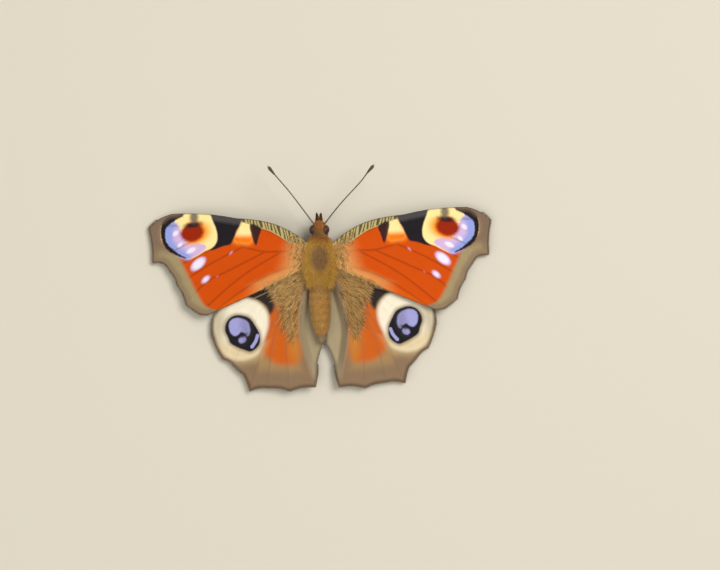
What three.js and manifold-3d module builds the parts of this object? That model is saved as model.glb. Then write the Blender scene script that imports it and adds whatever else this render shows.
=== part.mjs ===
// Peacock butterfly (Aglais io), life size, basking with its four wings spread flat.
// Millimetres, +Z up. The head points along -Y and the animal's left is +X.
// The four walking feet stand on the plane z = 0.
import * as THREE from 'three';
import Module from 'manifold-3d';
import { mergeVertices } from 'three/addons/utils/BufferGeometryUtils.js';
import { ConvexHull } from 'three/addons/math/ConvexHull.js';

const wasm = await Module();
wasm.setup();

// Driving dimensions
const GAP = 0.3;              // air between two neighbouring pieces
const MEMBRANE = 0.5;         // thickness of a wing between its veins
const VEIN_RISE = 0.15;       // height of a vein above the membrane, on each face
const VEIN_HALF = 0.3;        // half width of a vein at its foot
const VEIN_STEP = 1.35;       // distance between sections along a vein
const EDGE_STEP = 1.0;        // distance between points along a wing's edge
const MESH_STEP = 2.3;        // distance between points inside a wing's cells
const UNEVENNESS = 1e-5;      // keeps four points off one circle when triangles are drawn

const HINGE_LEVEL = 4.9;      // height of the wings' common plane at the thorax
const HINGE_REACH = 2.5;      // half distance between the left and right hinges
const WING_REACH = 32;        // half span
const TIP_DROP = 4.1;         // how far the common plane falls from hinge to tip
const TIP_BEND = 1.25;        // how that fall grows along the wing
const REAR_DROP = 0.075;      // how the hindwing falls away towards its tail, per mm
const OVERLAP = MEMBRANE + 2 * VEIN_RISE + GAP;

const THORAX = { at: [0, 0, 4.4], half: [2.6, 4.15, 2.5] };
const HEAD = { at: [0.1, -5.75, 4.85], half: [1.5, 1.5, 1.45] };
const EYE = { side: 1.22, at: [0.1, -5.85, 5.0], half: [0.8, 0.95, 1.15] };
const ABDOMEN = { from: 4.2, to: 15.5, level: 4.0, tipLevel: 2.95, rings: 8 };

// Colours, as sRGB
const SCALES_RED = 0xb8450a;
const SCALES_BROWN = 0x5a4638;
const FUR_OLIVE = 0x7a5c2c;
const FUR_GOLD = 0xa8762e;
const CUTICLE_DARK = 0x2c2420;
const EYE_BROWN = 0x241a16;

// Small helpers
const UPWARDS = new THREE.Vector3(0, 0, 1);
const smooth = (x) => {
  const t = THREE.MathUtils.clamp(x, 0, 1);
  return t * t * (3 - 2 * t);
};
const spline = (points) => new THREE.SplineCurve(points.map(([x, y]) => new THREE.Vector2(x, y)));

function finish(colour, roughness) {
  return new THREE.MeshStandardMaterial({ color: colour, roughness, metalness: 0 });
}

function geometryFrom(positions, indices) {
  const geometry = new THREE.BufferGeometry();
  geometry.setAttribute('position', new THREE.Float32BufferAttribute(positions, 3));
  geometry.setIndex(indices);
  return geometry;
}

// Cuts, made on closed solids
function solidOf(geometry) {
  const bare = geometry.clone();
  bare.deleteAttribute('normal');
  bare.deleteAttribute('uv');
  const merged = mergeVertices(bare, 1e-4);
  return new wasm.Manifold(new wasm.Mesh({
    numProp: 3,
    vertProperties: Float32Array.from(merged.attributes.position.array),
    triVerts: Uint32Array.from(merged.index.array),
  }));
}

function geometryOf(solid) {
  const pieces = solid.decompose().sort((a, b) => b.volume() - a.volume());
  const mesh = pieces[0].getMesh();
  return geometryFrom(Array.from(mesh.vertProperties), Array.from(mesh.triVerts));
}

function cutBy(geometry, ...tools) {
  const rest = tools.reduce((left, tool) => left.subtract(solidOf(tool)), solidOf(geometry));
  return geometryOf(rest);
}

// A closed skin over a row of rings, each a list of points, with a pole at either end
function skinOver(rings, firstPole, lastPole) {
  const sides = rings[0].length;
  const positions = [...rings.flat(), firstPole, lastPole].flatMap((p) => [p.x, p.y, p.z]);
  const first = rings.length * sides;
  const last = first + 1;
  const indices = [];
  for (let k = 0; k < sides; k += 1) {
    const next = (k + 1) % sides;
    indices.push(first, next, k);
    const end = (rings.length - 1) * sides;
    indices.push(last, end + k, end + next);
    for (let i = 0; i + 1 < rings.length; i += 1) {
      const here = i * sides;
      const there = here + sides;
      indices.push(here + k, here + next, there + next);
      indices.push(here + k, there + next, there + k);
    }
  }
  return geometryFrom(positions, indices);
}

// An egg along Y. A power under 1 makes its ends blunter.
function egg(at, half, grow, sides, count, power) {
  const size = half.map((value) => value + grow);
  const rings = [];
  for (let i = 1; i < count; i += 1) {
    const angle = (Math.PI * i) / count;
    const radius = Math.sin(angle) ** power;
    const ring = [];
    for (let k = 0; k < sides; k += 1) {
      const turn = (2 * Math.PI * k) / sides;
      ring.push(new THREE.Vector3(
        at[0] + size[0] * radius * Math.cos(turn),
        at[1] - size[1] * Math.cos(angle),
        at[2] - size[2] * radius * Math.sin(turn),
      ));
    }
    rings.push(ring);
  }
  const front = new THREE.Vector3(at[0], at[1] - size[1], at[2]);
  const back = new THREE.Vector3(at[0], at[1] + size[1], at[2]);
  return skinOver(rings, front, back);
}

// A limb or feeler through a few joints, thick as told at each, flat underneath
function limb(joints, sides, steps) {
  const path = new THREE.CatmullRomCurve3(
    joints.map(({ at }) => new THREE.Vector3(...at)), false, 'catmullrom', 0.25,
  );
  const thickness = spline(joints.map(({ radius }, i) => [i / (joints.length - 1), radius]));
  const rings = [];
  for (let i = 0; i <= steps; i += 1) {
    const t = i / steps;
    const along = path.getTangent(t);
    const side = new THREE.Vector3().crossVectors(along, UPWARDS).normalize();
    const up = new THREE.Vector3().crossVectors(side, along);
    const centre = path.getPoint(t);
    const radius = thickness.getPoint(t).y;
    const ring = [];
    for (let k = 0; k < sides; k += 1) {
      const turn = (2 * Math.PI * k) / sides;
      ring.push(centre.clone()
        .addScaledVector(side, radius * Math.cos(turn))
        .addScaledVector(up, -radius * Math.sin(turn)));
    }
    rings.push(ring);
  }
  return skinOver(rings, path.getPoint(0), path.getPoint(1));
}

// Wings

// Each wing is drawn flat in its own frame: u outwards and v rearwards from its hinge.
// An edge runs through the ends of the veins, and bows out (or in, under 0) between them.
const FOREWING = {
  hinge: [2.8, -3.73],
  turn: { left: 0, right: 3 },
  lift: OVERLAP / 2,
  edge: [
    { end: [-1.5, 1.2], bow: 1.45 },
    { end: [12.9, -4.05], bow: 0.05 },
    { end: [17.7, -4.8], bow: 0.03 },
    { end: [21.5, -4.98], bow: 0.03 },
    { end: [25.0, -4.9], bow: 0.1 },
    { end: [27.6, -3.85], bow: 0.12 },
    { end: [29.3, -2.2], bow: -0.25 },
    { end: [28.55, 4.15], bow: -0.75 },
    { end: [25.3, 5.8], bow: -0.25 },
    { end: [23.9, 8.5], bow: -0.28 },
    { end: [22.2, 12.1], bow: 0.03 },
    { end: [19.8, 13.75], bow: 0.1 },
    { end: [17.8, 13.9], bow: 0.15 },
    { end: [-1.5, 4.6], bow: 0.1 },
  ],
  veins: {
    subcosta: [[-1.0, 1.5], [2.6, -0.5], [6.5, -2.5], [12.9, -4.05]],
    radius: [[-1.0, 2.1], [2.8, 0.5], [6.5, -1.5], [11.6, -2.9], [20, -3.7], [27.6, -3.85]],
    radius1: [[9.6, -2.5], [13.5, -3.7], [17.7, -4.8]],
    radius2: [[12.6, -3.05], [17, -4.1], [21.5, -4.98]],
    radius3: [[18, -3.55], [21.5, -4.1], [25.0, -4.9]],
    radius5: [[16, -3.4], [23, -2.9], [29.3, -2.2]],
    cell: [[11.6, -2.9], [12.4, -1.5], [12.3, 0], [11.5, 1.3]],
    medial1: [[12.4, -1.7], [20.5, 0.1], [28.55, 4.15]],
    medial2: [[12.3, -0.2], [19.5, 2.6], [25.3, 5.8]],
    medial3: [[11.5, 1.3], [17.5, 4.4], [23.9, 8.5]],
    cubitus: [[-1.0, 2.7], [3, 2.1], [7.3, 2.2], [11.5, 1.3]],
    cubitus1: [[7.3, 2.2], [13, 5.1], [18.6, 8.1], [22.2, 12.1]],
    cubitus2: [[4.2, 2.1], [12, 7], [19.8, 13.75]],
    anal: [[-1.0, 3.6], [8.5, 7.4], [17.8, 13.9]],
  },
};

const HINDWING = {
  hinge: [2.24, 1.49],
  turn: { left: 0, right: 7 },
  lift: -OVERLAP / 2,
  edge: [
    { end: [-1.2, -0.9], bow: 0.35 },
    { end: [4.3, -1.1], bow: 0.55 },
    { end: [13.6, 3.7], bow: 0.35 },
    { end: [17.9, 9.4], bow: 0.05 },
    { end: [18.1, 12.4], bow: 0.15 },
    { end: [16.0, 17.0], bow: -0.2 },
    { end: [14.0, 18.2], bow: 0.1 },
    { end: [12.0, 20.0], bow: -0.1 },
    { end: [10.9, 22.95], bow: -0.3 },
    { end: [7.5, 22.35], bow: -0.25 },
    { end: [3.4, 22.95], bow: -0.35 },
    { end: [-1.3, 22.15], bow: 0.2 },
    { end: [-1.75, 17.8], bow: -0.1 },
    { end: [-2.8, 13.9], bow: -0.35 },
    { end: [-0.9, 9.6], bow: 0.1 },
    { end: [-0.9, 3.6], bow: 0.1 },
  ],
  veins: {
    subcosta: [[-0.8, -0.2], [6, 1.1], [12.4, 4.4], [17.9, 9.4]],
    sector: [[-0.8, 0.6], [2.5, 1.7], [10, 5.8], [18.1, 12.4]],
    medial1: [[4.6, 2.8], [11.5, 9.4], [16.0, 17.0]],
    medial2: [[6.2, 4.4], [10.6, 11.5], [14.0, 18.2]],
    medial3: [[5.4, 7.9], [8.3, 14.6], [10.9, 22.95]],
    cell: [[6.2, 4.4], [6.6, 6.3], [5.4, 7.9]],
    cubitus: [[-0.8, 1.5], [2.8, 4.8], [5.4, 7.9]],
    cubitus1: [[4.4, 6.8], [6.6, 14.6], [7.5, 22.35]],
    cubitus2: [[2.2, 4.2], [3.9, 13.2], [3.4, 22.95]],
    anal: [[-0.6, 2.4], [1.6, 10.5], [-1.3, 22.15]],
  },
  // The inner flap bends down from this crease into the gutter that holds the abdomen.
  crease: [[0.6, 1.5], [1.3, 6], [1.8, 11], [0.9, 15.5], [-1.3, 22]],
  flapWidth: 1.7,
  flapDrop: 1.75,
};

// Points along a wing's edge
function edgePoints(edge) {
  const points = [];
  edge.forEach(({ end, bow }, i) => {
    const from = new THREE.Vector2(...end);
    const to = new THREE.Vector2(...edge[(i + 1) % edge.length].end);
    const chord = to.clone().sub(from);
    const outwards = new THREE.Vector2(chord.y, -chord.x).normalize();
    const count = Math.max(2, Math.round(chord.length() / EDGE_STEP));
    for (let k = 0; k < count; k += 1) {
      const t = k / count;
      const point = from.clone().addScaledVector(chord, t);
      points.push(point.addScaledVector(outwards, bow * Math.sin(Math.PI * t)));
    }
  });
  return points;
}

function inside(outline, point) {
  let within = false;
  outline.forEach((a, i) => {
    const b = outline[(i + 1) % outline.length];
    const straddles = (a.y > point.y) !== (b.y > point.y);
    if (straddles && point.x < a.x + ((b.x - a.x) * (point.y - a.y)) / (b.y - a.y)) {
      within = !within;
    }
  });
  return within;
}

function distanceToLine(point, line) {
  const nearest = new THREE.Vector3();
  const probe = new THREE.Vector3(point.x, point.y, 0);
  let least = Infinity;
  for (let i = 0; i + 1 < line.length; i += 1) {
    const stretch = new THREE.Line3(
      new THREE.Vector3(line[i].x, line[i].y, 0),
      new THREE.Vector3(line[i + 1].x, line[i + 1].y, 0),
    );
    stretch.closestPointToPoint(probe, true, nearest);
    least = Math.min(least, nearest.distanceTo(probe));
  }
  return least;
}

// How far a vein stands out of the membrane at a point
function ridgeAt(point, veinLines) {
  const distance = Math.min(...veinLines.map((line) => distanceToLine(point, line)));
  return VEIN_RISE * THREE.MathUtils.clamp(1 - distance / VEIN_HALF, 0, 1);
}

// Triangles between scattered points: the underside of their hull on a paraboloid.
// A tiny unevenness in the paraboloid settles which way a square of points is split.
function trianglesBetween(points, outline) {
  const lifted = points.map(({ x, y }, i) => (
    new THREE.Vector3(x, y, x * x + y * y + UNEVENNESS * Math.sin(i * i))
  ));
  const place = new Map(lifted.map((point, i) => [point, i]));
  const triangles = [];
  new ConvexHull().setFromPoints(lifted).faces.forEach((face) => {
    const corners = [face.edge, face.edge.next, face.edge.prev].map((e) => place.get(e.head().point));
    const [a, b, c] = corners.map((i) => points[i]);
    const middle = new THREE.Vector2((a.x + b.x + c.x) / 3, (a.y + b.y + c.y) / 3);
    if (face.normal.z < 0 && inside(outline, middle)) {
      triangles.push([corners[0], corners[2], corners[1]]);
    }
  });
  return triangles;
}

// All the points of a wing: its edge, its veins' crests and feet, and its cells
function wingPoints(outline, veinLines) {
  const points = [...outline];
  // A point that sees a stretch of the edge under a right angle or more would cut it off
  const crowdsEdge = (point) => outline.some((a, i) => {
    const b = outline[(i + 1) % outline.length];
    return a.clone().sub(point).dot(b.clone().sub(point)) < 0.02;
  });
  const addClear = (point, clearance) => {
    const apart = points.every((other) => other.distanceTo(point) > clearance);
    if (apart && inside(outline, point) && !crowdsEdge(point)) {
      points.push(point);
    }
  };
  veinLines.forEach((line) => line.forEach((point) => addClear(point, 0.9 * VEIN_HALF)));
  veinLines.forEach((line) => line.forEach((point, i) => {
    const ahead = line[Math.min(i + 1, line.length - 1)];
    const behind = line[Math.max(i - 1, 0)];
    const along = ahead.clone().sub(behind).normalize();
    [-VEIN_HALF, VEIN_HALF].forEach((reach) => {
      addClear(point.clone().add(new THREE.Vector2(-along.y * reach, along.x * reach)), 0.8 * VEIN_HALF);
    });
  }));
  const rowStep = MESH_STEP * Math.sqrt(0.75);
  for (let row = -10; row < 30; row += 1) {
    for (let column = -5; column < 20; column += 1) {
      const shift = row % 2 === 0 ? 0 : 0.5;
      const point = new THREE.Vector2((column + shift) * MESH_STEP, row * rowStep);
      addClear(point, 0.45 * MESH_STEP);
    }
  }
  return points;
}

// The drooping plane in which all four wings lie
function commonPlane(x) {
  const out = THREE.MathUtils.clamp((Math.abs(x) - HINGE_REACH) / (WING_REACH - HINGE_REACH), 0, 1.1);
  return HINGE_LEVEL - TIP_DROP * out ** TIP_BEND;
}

function flapDip(wing, point) {
  const crease = spline(wing.crease.map(([u, v]) => [v, u]));
  const [first, last] = [wing.crease[0][1], wing.crease[wing.crease.length - 1][1]];
  const along = THREE.MathUtils.clamp((point.y - first) / (last - first), 0, 1);
  const inwards = crease.getPoint(along).y - point.x;
  const opens = smooth((point.y - 1.5) / 3) * (1 - 0.6 * smooth((point.y - 15) / 7));
  return wing.flapDrop * opens * smooth(inwards / wing.flapWidth);
}

// A wing as one closed shell, its two faces split into the same triangles
function wingGeometry(wing, side) {
  const outline = edgePoints(wing.edge);
  const veinLines = Object.values(wing.veins).map((knots) => {
    const curve = spline(knots);
    return curve.getSpacedPoints(Math.round(curve.getLength() / VEIN_STEP));
  });
  const points = wingPoints(outline, veinLines);
  const triangles = trianglesBetween(points, outline);
  const turn = THREE.MathUtils.degToRad(wing.turn[side]);
  const sign = side === 'left' ? 1 : -1;
  const faces = { top: [], bottom: [] };
  points.forEach((point) => {
    const x = wing.hinge[0] + point.x * Math.cos(turn) + point.y * Math.sin(turn);
    const y = wing.hinge[1] - point.x * Math.sin(turn) + point.y * Math.cos(turn);
    let level = commonPlane(x) + wing.lift;
    if (wing.crease) {
      level -= flapDip(wing, point) + REAR_DROP * Math.max(0, y);
    }
    const half = MEMBRANE / 2 + ridgeAt(point, veinLines);
    faces.top.push(sign * x, y, level + half);
    faces.bottom.push(sign * x, y, level - half);
  });
  const count = points.length;
  const indices = triangles.flatMap(([a, b, c]) => [a, b, c, count + a, count + c, count + b]);
  outline.forEach((_, i) => {
    const next = (i + 1) % outline.length;
    indices.push(i, count + i, count + next, i, count + next, next);
  });
  if (sign < 0) {
    indices.reverse();
  }
  return geometryFrom([...faces.top, ...faces.bottom], indices);
}

// Body
const thoraxShape = (grow) => egg(THORAX.at, THORAX.half, grow, 28, 18, 0.72);
const headShape = (grow) => egg(HEAD.at, HEAD.half, grow, 20, 12, 0.9);

function eyeShape(side, grow) {
  const sign = side === 'left' ? 1 : -1;
  const at = [EYE.at[0] + sign * EYE.side, EYE.at[1], EYE.at[2]];
  return egg(at, EYE.half, grow, 16, 12, 1);
}

// The abdomen narrows in shallow rings to a tip that bends a little to the right and down
function abdomenShape(grow) {
  const width = spline([[0, 1.55], [0.12, 1.95], [0.3, 2.05], [0.6, 1.75], [0.86, 1.05], [1, 0.35]]);
  const sides = 24;
  const count = 4 * ABDOMEN.rings;
  const length = ABDOMEN.to - ABDOMEN.from;
  const rings = [];
  for (let i = 0; i <= count; i += 1) {
    const t = i / count;
    const groove = 0.08 * Math.abs(Math.cos(Math.PI * ABDOMEN.rings * t)) ** 6;
    const radius = width.getPoint(t).y - groove + grow;
    const centre = new THREE.Vector3(
      -0.37 * t * t,
      ABDOMEN.from + length * t + (t < 0.5 ? -grow : grow) * Math.abs(2 * t - 1) ** 8,
      THREE.MathUtils.lerp(ABDOMEN.level, ABDOMEN.tipLevel, t ** 1.6),
    );
    const ring = [];
    for (let k = 0; k < sides; k += 1) {
      const turn = (2 * Math.PI * k) / sides;
      ring.push(centre.clone().add(
        new THREE.Vector3(radius * Math.cos(turn), 0, -0.95 * radius * Math.sin(turn)),
      ));
    }
    rings.push(ring);
  }
  const front = new THREE.Vector3(0, ABDOMEN.from - grow - 0.05, ABDOMEN.level);
  const back = new THREE.Vector3(-0.37, ABDOMEN.to + grow + 0.15, ABDOMEN.tipLevel);
  return skinOver(rings, front, back);
}

// Feelers and mouth parts
const ANTENNA = {
  left: [[1.0, -6.6, 5.9], [3.3, -9.6, 6.6], [5.6, -12.6, 7.2], [7.5, -14.8, 7.7], [8.7, -16.2, 8.0], [9.6, -17.35, 8.2]],
  right: [[-0.85, -6.7, 5.9], [-2.8, -9.1, 6.5], [-4.7, -11.3, 7.1], [-7.5, -14.3, 7.8], [-8.8, -16.0, 8.2], [-10.15, -17.6, 8.4]],
};
const ANTENNA_RADII = [0.3, 0.25, 0.25, 0.25, 0.32, 0.42];

function antennaGeometry(side) {
  return limb(ANTENNA[side].map((at, i) => ({ at, radius: ANTENNA_RADII[i] })), 8, 22);
}

function palpGeometry(side) {
  const sign = side === 'left' ? 1 : -1;
  const joints = [
    { at: [0.15 + sign * 0.55, -6.3, 3.7], radius: 0.36 },
    { at: [0.17 + sign * 0.56, -7.4, 4.1], radius: 0.42 },
    { at: [0.19 + sign * 0.5, -8.3, 4.8], radius: 0.34 },
    { at: [0.19 + sign * 0.46, -8.8, 5.35], radius: 0.2 },
  ];
  return limb(joints, 10, 10);
}

// The tongue lies rolled up like a watch spring under the head
function tongueGeometry() {
  const coil = new THREE.TorusGeometry(0.42, 0.24, 8, 18);
  coil.rotateY(Math.PI / 2);
  coil.translate(0.15, -6.55, 2.75);
  return coil;
}

// Legs: the two front ones are small folded brushes, the other four stand on their feet
const FOOT_SIDES = 6;
const FOOT_RADIUS = 0.25;
const FOOT_LEVEL = FOOT_RADIUS * Math.sin(Math.PI / 3);
const LEGS = {
  fore: [[0.95, -2.2, 2.1], [1.0, -3.9, 1.75], [1.05, -5.2, 2.15], [1.0, -4.9, 3.0]],
  mid: [[1.35, -0.4, 2.2], [2.2, -1.0, 1.6], [4.9, -2.9, 2.7], [6.6, -4.5, 1.2], [7.3, -5.1, FOOT_LEVEL],
    [8.3, -6.0, FOOT_LEVEL], [9.4, -7.0, FOOT_LEVEL]],
  hind: [[1.25, 1.9, 2.2], [2.1, 2.5, 1.5], [4.4, 5.0, 2.4], [5.8, 7.6, 1.1], [6.3, 8.5, FOOT_LEVEL],
    [6.9, 9.8, FOOT_LEVEL], [7.6, 11.2, FOOT_LEVEL]],
};
const WALKING_RADII = [0.42, 0.4, 0.36, 0.3, FOOT_RADIUS, FOOT_RADIUS, FOOT_RADIUS];
const BRUSH_RADII = [0.38, 0.36, 0.34, 0.28];

function legGeometry(pair, side) {
  const sign = side === 'left' ? 1 : -1;
  const radii = pair === 'fore' ? BRUSH_RADII : WALKING_RADII;
  const joints = LEGS[pair].map(([x, y, z], i) => ({ at: [sign * x, y, z], radius: radii[i] }));
  return limb(joints, FOOT_SIDES, pair === 'fore' ? 12 : 24);
}

// The animal, put together
const model = new THREE.Group();

function add(name, geometry, colour, roughness) {
  const mesh = new THREE.Mesh(geometry, finish(colour, roughness));
  mesh.name = name;
  model.add(mesh);
}

const sides = ['left', 'right'];
const eyes = sides.map((side) => eyeShape(side, GAP));
add('thorax', thoraxShape(0), FUR_OLIVE, 0.9);
add('head', cutBy(headShape(0), thoraxShape(GAP), ...eyes), FUR_OLIVE, 0.9);
add('abdomen', cutBy(abdomenShape(0), thoraxShape(GAP)), FUR_GOLD, 0.9);
add('tongue', tongueGeometry(), CUTICLE_DARK, 0.5);
sides.forEach((side) => {
  add(`eye_${side}`, eyeShape(side, 0), EYE_BROWN, 0.3);
  add(`antenna_${side}`, cutBy(antennaGeometry(side), headShape(GAP), ...eyes), CUTICLE_DARK, 0.6);
  add(`palp_${side}`, cutBy(palpGeometry(side), headShape(GAP), ...eyes), FUR_OLIVE, 0.9);
  add(`forewing_${side}`, cutBy(wingGeometry(FOREWING, side), thoraxShape(GAP)), SCALES_RED, 0.75);
  add(`hindwing_${side}`, cutBy(wingGeometry(HINDWING, side), thoraxShape(GAP), abdomenShape(GAP)),
    SCALES_BROWN, 0.75);
  Object.keys(LEGS).forEach((pair) => {
    add(`leg_${pair}_${side}`, cutBy(legGeometry(pair, side), thoraxShape(GAP)), CUTICLE_DARK, 0.7);
  });
});

// The origin is on the floor under the middle of the whole outline
const box = new THREE.Box3().setFromObject(model);
model.position.set(-(box.min.x + box.max.x) / 2, -(box.min.y + box.max.y) / 2, 0);

export default model;
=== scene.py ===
"""Peacock butterfly: the looks, laid over the solid model of the same animal."""
import math

import bpy
import numpy as np
from bpy.props import FloatProperty, FloatVectorProperty, IntProperty, PointerProperty
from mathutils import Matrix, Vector


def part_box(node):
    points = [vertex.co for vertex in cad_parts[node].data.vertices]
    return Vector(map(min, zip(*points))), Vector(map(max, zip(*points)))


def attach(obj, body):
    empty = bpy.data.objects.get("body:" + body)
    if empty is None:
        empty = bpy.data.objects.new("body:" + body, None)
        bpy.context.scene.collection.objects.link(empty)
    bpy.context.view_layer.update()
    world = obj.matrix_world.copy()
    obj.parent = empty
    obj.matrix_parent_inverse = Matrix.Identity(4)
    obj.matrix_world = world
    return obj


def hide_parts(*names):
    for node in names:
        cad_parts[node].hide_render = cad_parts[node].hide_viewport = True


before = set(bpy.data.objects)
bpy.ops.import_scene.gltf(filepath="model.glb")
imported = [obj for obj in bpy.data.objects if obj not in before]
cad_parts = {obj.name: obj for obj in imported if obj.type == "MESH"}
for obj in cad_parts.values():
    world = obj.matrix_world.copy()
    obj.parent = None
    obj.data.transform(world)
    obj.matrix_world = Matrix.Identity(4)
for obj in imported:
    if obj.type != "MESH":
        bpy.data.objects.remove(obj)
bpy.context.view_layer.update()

bl_info = {
    "name": "Peacock butterfly",
    "version": (1, 0, 0),
    "blender": (4, 5, 0),
    "location": "View3D > Sidebar > Butterfly",
    "description": "Models a basking peacock butterfly over its solid model",
    "category": "Add Mesh",
}

# All shapes are worked out in millimetres, with the middle of the thorax at x = y = 0,
# the head along -Y, the animal's left along +X and the floor at z = 0.
MM = 0.001
THORAX_LOW, THORAX_HIGH = (np.array(corner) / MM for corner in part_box("thorax"))
MIDDLE = (THORAX_LOW + THORAX_HIGH) / 2
SHIFT = np.array([MIDDLE[0], MIDDLE[1], 0.0])
SIDES = {"left": 1, "right": -1}
UP = np.array([0.0, 0.0, 1.0])

# The drooping plane in which all four wings lie
HINGE_LEVEL = 4.9
HINGE_REACH = 2.5
WING_REACH = 32.0
TIP_DROP = 4.1
TIP_BEND = 1.25
REAR_DROP = 0.075
OVERLAP = 1.1

# Each wing is drawn flat in its own frame, u outwards and v rearwards from its hinge.
# An edge runs through the ends of the veins: u, v and how far it bows out to the next one.
FOREWING = {
    "hinge": (2.8, -3.73),
    "turn": {"left": 0.0, "right": 3.0},
    "lift": OVERLAP / 2 - 0.2,
    "edge": [
        (-1.5, 1.2, 1.45), (12.9, -4.05, 0.05), (17.7, -4.8, 0.03), (21.5, -4.98, 0.03),
        (25.0, -4.9, 0.1), (27.6, -3.85, 0.12), (29.3, -2.2, -0.25), (28.55, 4.15, -0.75),
        (25.3, 5.8, -0.25), (23.9, 8.5, -0.28), (22.2, 12.1, 0.03), (19.8, 13.75, 0.1),
        (17.8, 13.9, 0.15), (-1.5, 4.6, 0.1),
    ],
    "veins": {
        "subcosta": [(-1.0, 1.5), (2.6, -0.5), (6.5, -2.5), (12.9, -4.05)],
        "radius": [(-1.0, 2.1), (2.8, 0.5), (6.5, -1.5), (11.6, -2.9), (20, -3.7), (27.6, -3.85)],
        "radius1": [(9.6, -2.5), (13.5, -3.7), (17.7, -4.8)],
        "radius2": [(12.6, -3.05), (17, -4.1), (21.5, -4.98)],
        "radius3": [(18, -3.55), (21.5, -4.1), (25.0, -4.9)],
        "radius5": [(16, -3.4), (23, -2.9), (29.3, -2.2)],
        "cell": [(11.6, -2.9), (12.4, -1.5), (12.3, 0), (11.5, 1.3)],
        "medial1": [(12.4, -1.7), (20.5, 0.1), (28.55, 4.15)],
        "medial2": [(12.3, -0.2), (19.5, 2.6), (25.3, 5.8)],
        "medial3": [(11.5, 1.3), (17.5, 4.4), (23.9, 8.5)],
        "cubitus": [(-1.0, 2.7), (3, 2.1), (7.3, 2.2), (11.5, 1.3)],
        "cubitus1": [(7.3, 2.2), (13, 5.1), (18.6, 8.1), (22.2, 12.1)],
        "cubitus2": [(4.2, 2.1), (12, 7), (19.8, 13.75)],
        "anal": [(-1.0, 3.6), (8.5, 7.4), (17.8, 13.9)],
    },
}
HINDWING = {
    "hinge": (2.24, 1.49),
    "turn": {"left": 0.0, "right": 7.0},
    "lift": -OVERLAP / 2 + 0.2,
    "edge": [
        (-1.2, -0.9, 0.35), (4.3, -1.1, 0.55), (13.6, 3.7, 0.35), (17.9, 9.4, 0.05),
        (18.1, 12.4, 0.15), (16.0, 17.0, -0.2), (14.0, 18.2, 0.1), (12.0, 20.0, -0.1),
        (10.9, 22.95, -0.3), (7.5, 22.35, -0.25), (3.4, 22.95, -0.35), (-1.3, 22.15, 0.2),
        (-1.75, 17.8, -0.1), (-2.9, 14.0, 0.0), (-2.8, 12.0, 0.0), (-1.9, 9.6, 0.1), (-1.0, 3.6, 0.1),
    ],
    "veins": {
        "subcosta": [(-0.8, -0.2), (6, 1.1), (12.4, 4.4), (17.9, 9.4)],
        "sector": [(-0.8, 0.6), (2.5, 1.7), (10, 5.8), (18.1, 12.4)],
        "medial1": [(4.6, 2.8), (11.5, 9.4), (16.0, 17.0)],
        "medial2": [(6.2, 4.4), (10.6, 11.5), (14.0, 18.2)],
        "medial3": [(5.4, 7.9), (8.3, 14.6), (10.9, 22.95)],
        "cell": [(6.2, 4.4), (6.6, 6.3), (5.4, 7.9)],
        "cubitus": [(-0.8, 1.5), (2.8, 4.8), (5.4, 7.9)],
        "cubitus1": [(4.4, 6.8), (6.6, 14.6), (7.5, 22.35)],
        "cubitus2": [(2.2, 4.2), (3.9, 13.2), (3.4, 22.95)],
        "anal": [(-0.6, 2.4), (1.6, 10.5), (-1.3, 22.15)],
    },
    "crease": [(0.6, 1.5), (1.3, 6), (1.8, 11), (0.9, 15.5), (-1.3, 22)],
    "haired": [(-0.9, -1.2), (3.2, -1.2), (6.9, 1.6), (6.8, 4.6), (5.4, 7.6), (4.8, 10.6), (3.2, 13.2),
               (1.7, 12.5), (0.9, 6), (-0.2, 1.5)],
    "flap_width": 1.7,
    "flap_drop": 1.75,
}
# How far out the paler band of the underside starts
BAND_START = 0.66
# How many millimetres of a wing its own UV map spans
UV_SPAN = 40.0
# Height of the scales, in metres
SCALE_RELIEF = 0.00003

# The body along its length: y, half width, half height, height of its middle, sideways bend
BODY_STATIONS = [
    (-7.15, 0.02, 0.02, 4.75, 0.10), (-6.95, 0.55, 0.6, 4.75, 0.10), (-6.4, 1.0, 1.05, 4.8, 0.10),
    (-5.7, 1.15, 1.2, 4.85, 0.10), (-5.0, 1.12, 1.15, 4.8, 0.08), (-4.5, 0.9, 0.95, 4.6, 0.04),
    (-4.1, 0.95, 1.05, 4.45, 0.0), (-3.6, 1.45, 1.5, 4.4, 0.0), (-2.6, 1.95, 1.85, 4.4, 0.0),
    (-1.0, 2.2, 2.05, 4.45, 0.0), (0.8, 2.2, 2.05, 4.45, 0.0), (2.2, 1.95, 1.85, 4.4, 0.0),
    (3.4, 1.5, 1.5, 4.3, 0.0), (4.3, 1.2, 1.25, 4.15, 0.0), (5.0, 1.45, 1.4, 4.0, 0.0),
    (6.5, 1.72, 1.62, 3.9, -0.02), (8.5, 1.75, 1.66, 3.8, -0.06), (10.5, 1.6, 1.52, 3.62, -0.13),
    (12.4, 1.25, 1.2, 3.38, -0.22), (14.0, 0.82, 0.8, 3.14, -0.3), (15.1, 0.45, 0.45, 2.98, -0.35),
    (15.6, 0.03, 0.03, 2.95, -0.37),
]
# Places along the body, and how far apart the abdomen's grooves are
NECK = -4.1
WAIST = 4.3
TAIL_END = 15.6
RING_STEP = 1.4

# Points along each feeler, from its socket to its club
FEELERS = {
    "left": [(1.0, -6.5, 5.8), (3.3, -9.6, 6.6), (5.6, -12.6, 7.2), (7.5, -14.8, 7.7), (8.7, -16.2, 8.0),
             (9.6, -17.35, 8.2)],
    "right": [(-0.85, -6.6, 5.8), (-2.8, -9.1, 6.5), (-4.7, -11.3, 7.1), (-7.5, -14.3, 7.8),
              (-8.8, -16.0, 8.2), (-10.15, -17.6, 8.4)],
}
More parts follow.
